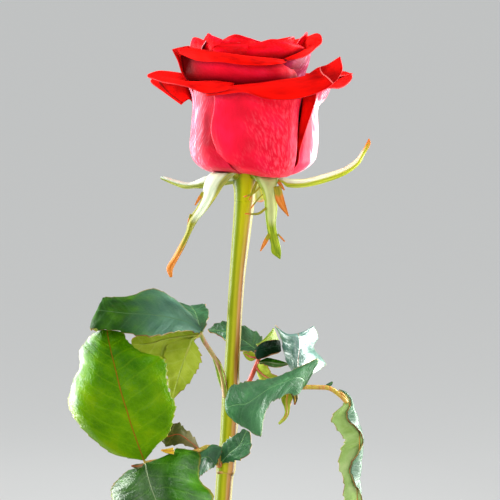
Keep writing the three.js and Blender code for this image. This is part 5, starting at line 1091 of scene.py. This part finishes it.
def makeBarkMaterial(name, widest):
    material, tree, shader = newMaterial(name, {"Roughness": 0.34, "Specular IOR Level": 0.12})
    place = addNode(tree, "TexCoord").outputs["Object"]
    parts = addNode(tree, "SeparateXYZ", {0: addNode(tree, "UVMap", uv_map="UVMap")})
    height = addNode(tree, "SeparateXYZ", {0: place})
    stretched = addNode(tree, "Mapping", {"Vector": place, "Scale": (1.0, 1.0, 0.04)})
    drift = addNode(tree, "TexNoise", {"Vector": stretched, "Scale": 1 / (4 * mm), "Detail": 3.0})
    lean = addNode(tree, "Math", {0: drift, 1: 0.06, 2: -0.03}, operation="MULTIPLY_ADD")
    girth = 2 * math.pi * widest * mm
    turn = addNode(tree, "Math", {0: parts.outputs["X"], 1: 1 / girth, 2: lean}, operation="MULTIPLY_ADD")
    # colour by the turn round the stem: its stripes, with painted highlights at its edges and left of its
    # front
    stripes = addNode(tree, "ValToRGB", {0: turn}, stops=stem["round"])
    fresh = addNode(tree, "ValToRGB", {0: turn}, stops=stem["top"])
    low, high = stem["fresh"]
    rise = addNode(tree, "MapRange", {"Value": height.outputs["Z"], 1: low * mm, 2: high * mm})
    colour = addNode(tree, "Mix", {0: rise, 6: stripes, 7: fresh}, data_type="RGBA")
    start, full, fade, end = stem["bruiseTurn"]
    side = addNode(tree, "MapRange", {"Value": turn, 1: start, 2: full})
    other = addNode(tree, "MapRange", {"Value": turn, 1: fade, 2: end, 3: 1.0, 4: 0.0})
    start, full, fade, end = [level * mm for level in stem["bruise"]]
    low = addNode(tree, "MapRange", {"Value": height.outputs["Z"], 1: start, 2: full})
    high = addNode(tree, "MapRange", {"Value": height.outputs["Z"], 1: fade, 2: end, 3: 1.0, 4: 0.0})
    bruise = addNode(tree, "Math", {0: side, 1: other}, operation="MULTIPLY")
    bruise = addNode(tree, "Math", {0: bruise, 1: low}, operation="MULTIPLY")
    bruise = addNode(tree, "Math", {0: bruise, 1: high}, operation="MULTIPLY")
    colour = addNode(tree, "Mix", {0: bruise, 6: colour, 7: toLinear(stem["brown"])}, data_type="RGBA")
    specks = addNode(tree, "TexNoise", {"Vector": place, "Scale": 1 / (0.7 * mm), "Detail": 2.0})
    relief = addNode(tree, "Math", {0: specks, 1: drift}, operation="ADD")
    finishMaterial(tree, shader, colour, relief, strength=0.15, depth=0.2)
    return material


# young stalk bark: three tones in long streaks and a fourth that stains them
def makeStalkMaterial(name, *colours):
    material, tree, shader = newMaterial(name, {"Roughness": 0.36, "Specular IOR Level": 0.5})
    place = addNode(tree, "TexCoord").outputs["Object"]
    stretched = addNode(tree, "Mapping", {"Vector": place, "Scale": (1.0, 1.0, 0.06)})
    tone = addNode(tree, "TexNoise", {"Vector": stretched, "Scale": 1 / (2.5 * mm), "Detail": 3.0})
    streaks = addNode(tree, "TexNoise", {"Vector": stretched, "Scale": 1 / (1.6 * mm), "Detail": 2.0})
    specks = addNode(tree, "TexNoise", {"Vector": place, "Scale": 1 / (0.7 * mm), "Detail": 2.0})
    base = addNode(tree, "ValToRGB", {0: tone}, stops=list(zip((0.35, 0.52, 0.7), colours[:3])))
    share = addNode(tree, "MapRange", {"Value": streaks, 1: 0.55, 2: 0.72, 3: 0.0, 4: 0.7})
    colour = addNode(tree, "Mix", {0: share, 6: base, 7: toLinear(colours[3])}, data_type="RGBA")
    height = addNode(tree, "Math", {0: specks, 1: tone}, operation="ADD")
    finishMaterial(tree, shader, colour, height, strength=0.15, depth=0.2)
    return material


def makeStem(material):
    def bumps(u, turn):
        return stem["bumps"] * noise.noise(Vector((math.cos(turn), math.sin(turn), u * 14)))

    mesh = rodMesh("stem_bark", stem["points"], stem["radii"], stem["sides"], stem["rows"], bumps)
    addPiece("stem_bark", mesh, "stem", [material])


# Sepals: thin downy straps, green outside and white-felted inside, drying to orange-brown at the tips. Each
# is a net of grid points, base to tip; its pale stripe, partly the white felt and partly a painted highlight,
# runs from one share of its width to another, and it dries from a row on.
sepals = [
    {"net": [
        [(226, 180, -3), (234, 179.5, -4.5), (242, 179, -3)],
        [(212, 173, -11), (226, 173, -13.5), (239, 171.5, -8)],
        [(204.5, 184, -13), (214, 184, -15.5), (225.5, 183, -12)],
        [(202.5, 196, -13.5), (208.5, 196.5, -15.5), (216, 197, -13)],
        [(196.5, 208, -13.5), (201.5, 209, -15), (207.5, 208.5, -13)],
        [(189, 219, -13), (192.5, 221, -14.5), (197.5, 220.5, -13)],
        [(186, 232, -13), (188.3, 233, -14), (190.5, 233, -13)],
        [(179.5, 245, -12.5), (182, 246, -13.5), (184.5, 246.5, -12.5)],
        [(173, 257, -12.3), (175.5, 258, -13.3), (178, 258.5, -12.3)],
        [(166.8, 268, -12), (169.5, 269, -12.8), (172.7, 269, -12)],
        [(169.5, 277, -12), (170.7, 277.4, -12.2), (172, 277, -12)],
     ], "stripe": (0.1, 1.2), "stripeWidth": 0.34, "stripeEnd": 0.52, "pale": "#d0dcbc", "dry": 0.7,
     "green": ["#606404", "#7c7c10", "#949024"]},
    {"net": [
        [(236, 183, -1), (238, 180.5, -2), (240, 178, -1)],
        [(206, 187.5, -2), (208, 182, -4), (211, 175.5, -2)],
        [(195, 187.8, -1), (195, 184.5, -3), (196, 180.8, 0)],
        [(184, 188, 0), (185, 184.5, -1.5), (188, 182.8, 1)],
        [(174, 184.5, 1), (174.5, 182, 0), (176, 180, 1.5)],
        [(166, 181, 1), (166.5, 179, 0.5), (168, 177.5, 1.5)],
        [(160.3, 178.5, 1), (160.6, 177.5, 1), (161.5, 176, 1)],
     ], "stripe": (0.85, 0.7), "stripeWidth": 0.3, "stripeEnd": 1.1, "pale": "#c4d8c4", "dry": 1.1,
     "green": ["#7c8824", "#949c3c", "#acb058"]},
    {"net": [
        [(254, 176, -3), (256, 179, -4), (257, 182, -3)],
        [(277, 177, -3), (279, 179.5, -5), (280, 181.5, -4)],
        [(289, 178.8, -2), (288.5, 183, -4.5), (288, 186.6, -3)],
        [(305, 179, 0), (305, 183, -3), (305, 186.6, -1)],
        [(325, 174, 2), (325.5, 178, -0.5), (326, 181.8, 1)],
        [(343, 168, 3), (344, 171.5, 1), (345, 174.5, 2)],
        [(355, 160, 3.5), (357, 163, 2), (358.5, 164.5, 3)],
        [(362, 151, 3.5), (363, 153, 2.7), (364.5, 154, 3.3)],
        [(367, 142, 3.5), (368.5, 143.5, 3), (370, 144.5, 3.3)],
        [(368.5, 138.5, 3.4), (369, 138.5, 3.3), (369.7, 138.8, 3.3)],
     ], "stripe": (0.3, 0.15), "stripeWidth": 0.22, "stripeEnd": 0.85, "pale": "#c8dcbc", "dry": 0.84,
     "green": ["#8c980c", "#a4ac14", "#b8bc2c"]},
    {"net": [
        [(262, 180, -3.5), (257, 179.5, -5), (250, 179, -4)],
        [(277, 176.5, -9), (264, 177, -11), (252, 174.5, -8)],
        [(276.5, 186, -10), (268, 187, -12), (259.5, 184.5, -9.5)],
        [(276.5, 198, -10), (270, 198, -11.5), (264, 197, -10)],
        [(277, 210, -10), (271, 210, -11.5), (265, 209, -10)],
        [(275.8, 223, -10), (271.5, 223, -11), (266.3, 222, -10)],
        [(277, 233, -9.5), (272.5, 233, -10.5), (268, 233, -9.5)],
        [(280, 245, -9), (275.5, 245, -10), (270.8, 243, -9)],
        [(281, 252, -8.7), (277, 253, -9.3), (271.8, 252.5, -8.8)],
        [(280.5, 259, -8.5), (280, 259, -8.5), (279, 258, -8.5)],
     ], "stripe": (0.4, 0.5), "stripeWidth": 0.34, "stripeEnd": 0.6, "pale": "#a8b070", "dry": 1.1,
     "green": ["#5c7404", "#788c08", "#98a41c"]},
    {"net": [
        [(252, 178, 3), (256, 178, 2), (260, 178, 3)],
        [(249, 183, 9), (256, 184, 8), (263, 183, 9)],
        [(251, 191, 14), (258, 192, 13), (265, 191, 14)],
        [(253, 198, 19), (259, 198.5, 18), (265, 198, 19)],
        [(257, 201, 23), (260, 201.5, 23), (263, 201, 23)],
     ], "stripe": (0.5, 0.5), "stripeWidth": 0.1, "stripeEnd": 0.9, "pale": "#b8b878", "dry": 0.8,
     "green": ["#848410", "#a8a418", "#c0b82c"]},
]
lobeLook = {"stripe": (0.5, 0.5), "stripeWidth": -0.2, "stripeEnd": 0.1, "pale": "#a8b080",
            "green": ["#6c7008", "#888414", "#a09020"]}
# thin side lobes of the sepals, from an edge to a tip; half is the half width in mm, dry the share that stays
# green
lobes = [
    {"from": (203, 192, -13.5), "to": (195, 205, -13), "half": 0.6, "dry": 0.3},
    {"from": (266, 208, -10.5), "over": (258, 213.5, -11), "to": (245, 213.5, -10.5), "half": 0.5,
     "dry": 0.8},
    {"from": (260, 187, -9.5), "over": (253, 193, -9.5), "to": (244, 196.5, -8), "half": 0.45, "dry": 0.8},
    {"from": (257, 181, -9), "over": (254, 189, -8.5), "to": (249, 200, -8), "half": 0.6, "dry": 0.8},
    {"from": (263, 194, -9.5), "over": (258, 199, -9), "to": (251, 208, -8), "half": 0.3, "dry": 0.8},
    {"from": (276, 178, -9.5), "to": (284.5, 190, -10), "half": 0.7, "dry": 0.3},
    {"from": (277, 186, -10.5), "over": (280.5, 201, -11), "to": (288.5, 216, -10), "half": 1.7, "dry": 0.3},
    {"from": (269.5, 234, -9.8), "to": (260.5, 251, -8.5), "half": 0.8, "dry": 0.3},
    {"from": (278, 234, -9.6), "to": (284.8, 241.5, -9), "half": 0.35, "dry": 0.3},
    {"from": (191, 214, -13.2), "to": (187.5, 229, -13), "half": 0.6, "dry": 0.3},
]
cup = {"points": [(14.2, 0, 321.6), (14.35, 0, 326), (14.4, 0, 330), (14.4, 0, 335)],
       "radii": [4.55, 4.8, 5.6, 6.8], "sides": 48, "rows": 40}
# sizes in mm
sepalDetail = {"rows": 80, "columns": 18, "wall": 0.5, "lobeRows": 24, "lobeColumns": 8, "lobeWall": 0.45}


def makeSepalMaterial(name, look):
    gloss = {"Roughness": 0.42, "Specular IOR Level": 0.18}
    down = {"Sheen Weight": 0.05, "Sheen Roughness": 0.4, "Sheen Tint": toLinear("#f4f8ea")}
    material, tree, shader = newMaterial(name, gloss | down)
    uv, widthShare, lengthShare = sheetPlaces(tree)
    long = addNode(tree, "Mapping", {"Vector": uv, "Scale": (1.0, 0.15, 1.0)})
    tone = addNode(tree, "TexNoise", {"Vector": long, "Scale": 1 / (1.5 * mm), "Detail": 3.0})
    base = addNode(tree, "ValToRGB", {0: tone}, stops=list(zip((0.35, 0.5, 0.65), look["green"])))
    # the pale stripe: partly the white felt, partly a painted highlight
    first, last = look["stripe"]
    line = addNode(tree, "Math", {0: lengthShare, 1: last - first, 2: first}, operation="MULTIPLY_ADD")
    away = addNode(tree, "Math", {0: widthShare, 1: line}, operation="SUBTRACT")
    away = addNode(tree, "Math", {0: away}, operation="ABSOLUTE")
    away = addNode(tree, "Math", {0: tone, 1: 0.16, 2: away}, operation="MULTIPLY_ADD")
    width, end = look["stripeWidth"], look["stripeEnd"]
    pale = addNode(tree, "MapRange", {"Value": away, 1: width, 2: width + 0.16, 3: 0.95, 4: 0.0})
    stop = addNode(tree, "MapRange", {"Value": lengthShare, 1: end - 0.08, 2: end, 3: 1.0, 4: 0.0})
    pale = addNode(tree, "Math", {0: pale, 1: stop}, operation="MULTIPLY")
    colour = addNode(tree, "Mix", {0: pale, 6: base, 7: toLinear(look["pale"])}, data_type="RGBA")
    # dry tips and fringes
    reach = addNode(tree, "Math", {0: widthShare, 1: 2.0, 2: -1.0}, operation="MULTIPLY_ADD")
    reach = addNode(tree, "Math", {0: reach}, operation="ABSOLUTE")
    dry = addNode(tree, "Math", {0: reach, 1: 0.06, 2: lengthShare}, operation="MULTIPLY_ADD")
    dry = addNode(tree, "Math", {0: tone, 1: 0.2, 2: dry}, operation="MULTIPLY_ADD")
    share = addNode(tree, "MapRange", {"Value": dry, 1: look["dry"] + 0.08, 2: look["dry"] + 0.2})
    dried = addNode(tree, "ValToRGB", {0: tone},
                    stops=[(0.35, "#a85c14"), (0.5, "#c87420"), (0.65, "#c88c4c")])
    colour = addNode(tree, "Mix", {0: share, 6: colour, 7: dried}, data_type="RGBA")
    finishMaterial(tree, shader, colour, tone, strength=0.35, depth=0.3)
    return material


# a closed shape of revolution: profile points (radius, height) from the axis round to the axis
def turnedMesh(name, profile, steps):
    bm = bmesh.new()
    verts = [bm.verts.new((r * mm, 0, z * mm)) for r, z in profile]
    edges = [bm.edges.new(pair) for pair in zip(verts, verts[1:])]
    bmesh.ops.spin(bm, geom=verts + edges, cent=(0, 0, 0), axis=(0, 0, 1), angle=2 * math.pi, steps=steps,
                   use_merge=True)
    bmesh.ops.remove_doubles(bm, verts=bm.verts, dist=0.001 * mm)
    bmesh.ops.recalc_face_normals(bm, faces=bm.faces)
    for face in bm.faces:
        face.smooth = True
    mesh = bpy.data.meshes.new(name)
    bm.to_mesh(mesh)
    bm.free()
    return mesh


def makeCalyx():
    mesh = rodMesh("calyx_cup", cup["points"], cup["radii"], cup["sides"], cup["rows"])
    addPiece("calyx_cup", mesh, "calyx", [makeBarkMaterial("green rose hip", max(cup["radii"]))])
    for k, sepal in enumerate(sepals):
        material = makeSepalMaterial(f"rose sepal, downy, {k + 1}", sepal)
        shape, rows, columns = netShape(sepal["net"]), sepalDetail["rows"], sepalDetail["columns"]
        mesh = sheetMesh(f"sepal_{k + 1}", rows, columns, shape, lambda r, c: ((2 * c - 1) * 4, r * 50))
        addPiece(f"sepal_{k + 1}", mesh, "calyx", [material], sepalDetail["wall"])
    lobeMaterials = {share: makeSepalMaterial("rose sepal, lobe", {**lobeLook, "dry": share})
                     for share in (0.3, 0.8)}
    for k, lobe in enumerate(lobes):
        middle = lobe.get("over") or [(a + b) / 2 for a, b in zip(lobe["from"], lobe["to"])]
        half = [lobe["half"], lobe["half"] * 1.1, 0.25]
        blade = {"rib": [lobe["from"], middle, lobe["to"]], "face": [(0.1, -0.9, 0.3)] * 2, "fold": (12, 12)}
        shape = ribShape({**blade, "left": half, "right": half})
        rows, columns = sepalDetail["lobeRows"], sepalDetail["lobeColumns"]
        mesh = sheetMesh(f"sepal_lobe_{k + 1}", rows, columns, shape,
                         lambda r, c: ((2 * c - 1) * 2, 6 + r * 12))
        material = lobeMaterials[lobe["dry"]]
        addPiece(f"sepal_lobe_{k + 1}", mesh, "calyx", [material], sepalDetail["lobeWall"])


# Clear blown soda-lime glass, even and smooth, and still water a little over half way up its body.
vase = {
    "outline": [(26, 1.5), (29, 12), (30, 30), (26.5, 50), (17, 72), (10.4, 92), (8.6, 115), (8.4, 148),
                (9.8, 162), (12.6, 172)],
    "height": 172, "wall": 2.2, "floor": 8, "footRadius": 26, "heel": 1.5, "lipRise": 0.6, "steps": 96,
}
water = {"level": 84, "clearance": 0.25}


# radius and height down one side of the vase's body, drawn in from its outline by the inset
def vaseSide(inset, low, high, steps):
    radii, heights = zip(*vase["outline"])
    dense = [(smoothed(radii, k / 400), smoothed(heights, k / 400)) for k in range(401)]

    def radiusAt(z):
        for (lowerR, lowerZ), (upperR, upperZ) in zip(dense, dense[1:]):
            if upperZ >= z > lowerZ:
                return mix(lowerR, upperR, (z - lowerZ) / (upperZ - lowerZ))
        return radii[0]

    return [(radiusAt(z) - inset, z) for z in (mix(low, high, k / steps) for k in range(steps + 1))]


def makeVase():
    clear = {"Base Color": toLinear("#f4fbf9"), "Roughness": 0.02, "IOR": 1.5, "Transmission Weight": 1.0}
    glass, _, _ = newMaterial("clear soda-lime glass", clear)
    still, _, _ = newMaterial("still water", clear | {"Base Color": toLinear("#f6fcfa"), "Roughness": 0.0,
                                                      "IOR": 1.33})
    foot, heel, height, wall, floor = (vase[key] for key in ("footRadius", "heel", "height", "wall", "floor"))
    outside = vaseSide(0, heel, height, 90)
    inside = vaseSide(wall, floor + 3, height, 84)[::-1]
    edge = [(foot - heel + heel * math.sin(a), heel - heel * math.cos(a)) for a in (0, 0.5, 1.0)]
    middle = outside[-1][0] - wall / 2
    lip = [(middle + wall / 2 * math.cos(a), height + vase["lipRise"] * math.sin(a))
           for a in (0.5, 1.1, 1.57, 2.0, 2.6)]
    last = inside[-1][0]
    well = [(last - 4 * (1 - math.cos(a)), floor + 0.4 + 2.6 * (1 - math.sin(a)))
            for a in (0.4, 0.8, 1.2, 1.57)]
    mesh = turnedMesh("vase_glass", [(0, 0)] + edge + outside + lip + inside + well + [(0, floor)],
                      vase["steps"])
    addPiece("vase_glass", mesh, "vase", [glass])
    # the water stands clear of the glass and its top curves up a little at the wall
    side = vaseSide(wall + water["clearance"], floor + 3.4, water["level"] + 0.3, 60)
    first, last = side[0][0], side[-1][0]
    base = [(0, floor + 0.5), (first - 4, floor + 0.9), (first - 1.2, floor + 1.9)]
    top = [(last - 1, water["level"]), (0, water["level"] - 0.05)]
    mesh = turnedMesh("water_body", base + side + top, vase["steps"])
    addPiece("water_body", mesh, "water", [still])


# graded paper: mid grey under the object, where the lamps stand close, and pale beyond; sizes in metres
stage = {"radius": 120, "near": "#949594", "far": "#e6e7e5", "grade": (0.2, 1.5), "drop": 0.0005}


def makeStage():
    paper, tree, shader = newMaterial("matt graded backdrop paper", {"Roughness": 0.9})
    place = addNode(tree, "TexCoord").outputs["Object"]
    away = addNode(tree, "VectorMath", {0: place}, operation="LENGTH")
    share = addNode(tree, "MapRange", {"Value": away, 1: stage["grade"][0], 2: stage["grade"][1]},
                    interpolation_type="SMOOTHSTEP")
    tone = addNode(tree, "Mix", {0: share, 6: toLinear(stage["near"]), 7: toLinear(stage["far"])},
                   data_type="RGBA")
    finishMaterial(tree, shader, tone)
    bm = bmesh.new()
    bmesh.ops.create_circle(bm, cap_ends=True, segments=64, radius=stage["radius"])
    mesh = bpy.data.meshes.new("floor")
    bm.to_mesh(mesh)
    bm.free()
    mesh.materials.append(paper)
    floor = bpy.data.objects.new("floor", mesh)
    floor.location.z = -stage["drop"]
    bpy.context.scene.collection.objects.link(floor)


# a soft key from high on the left of the camera, two strips at the sides a little behind, and a low front
# fill; places and sizes in metres, power in watts
lights = [
    {"name": "key", "at": (-0.35, -1.3, 0.95), "aim": (0.015, 0, 0.33), "size": (0.6, 0.6), "power": 13},
    {"name": "stripLeft", "at": (-0.62, 0.2, 0.42), "aim": (0.01, 0, 0.33), "size": (0.3, 0.9), "power": 20},
    {"name": "stripRight", "at": (0.62, 0.25, 0.42), "aim": (0.01, 0, 0.33), "size": (0.3, 0.9), "power": 24},
    {"name": "fill", "at": (0.9, -1.3, 0.5), "aim": (0.015, 0, 0.3), "size": (0.9, 0.9), "power": 6},
]
# aim and distance in mm, lens and sensor in mm of film, tilt in degrees
cameraView = {"aim": (16.6, 0, 300), "distance": 1500, "tilt": 4.5, "lens": 245, "sensor": 36}
sky = {"colour": "#e8ebf0", "strength": 0.28, "sun": 1.5, "sunAngle": 60, "sunFrom": (0.2, -0.6, 3)}


def lookFrom(item, at, aim):
    item.location = at
    item.rotation_euler = (Vector(aim) - Vector(at)).to_track_quat("-Z", "Y").to_euler()
    bpy.context.scene.collection.objects.link(item)


def makeLightsAndCamera():
    for light in lights:
        lamp = bpy.data.lights.new(light["name"], "AREA")
        lamp.shape = "RECTANGLE"
        lamp.size, lamp.size_y = light["size"]
        lamp.energy = light["power"]
        lookFrom(bpy.data.objects.new(light["name"], lamp), light["at"], light["aim"])
    sun = bpy.data.lights.new("ceiling", "SUN")
    sun.energy, sun.angle = sky["sun"], math.radians(sky["sunAngle"])
    lookFrom(bpy.data.objects.new("ceiling", sun), sky["sunFrom"], (0, 0, 0))
    world = bpy.data.worlds.new("pale room")
    world.use_nodes = True
    background = world.node_tree.nodes["Background"]
    background.inputs["Color"].default_value = toLinear(sky["colour"])
    background.inputs["Strength"].default_value = sky["strength"]
    bpy.context.scene.world = world
    tilt = math.radians(cameraView["tilt"])
    aim = Vector(cameraView["aim"]) * mm
    at = aim + Vector((0, -math.cos(tilt), math.sin(tilt))) * cameraView["distance"] * mm
    data = bpy.data.cameras.new("camera")
    data.lens, data.sensor_width = cameraView["lens"], cameraView["sensor"]
    camera = bpy.data.objects.new("camera", data)
    lookFrom(camera, at, aim)
    bpy.context.scene.camera = camera
    bpy.context.scene.view_settings.view_transform = "Standard"


makeLightsAndCamera()
makeStage()
print("stage: camera, lights and floor made")
makeVase()
makeStem(makeBarkMaterial("green rose bark", max(stem["radii"])))
print("stage: vase, water and stem made")
makeCalyx()
print("stage: calyx made")
makeLeaves()
print("stage: leaves made")
makeBloom(makePetalMaterials())
print("stage: bloom made")
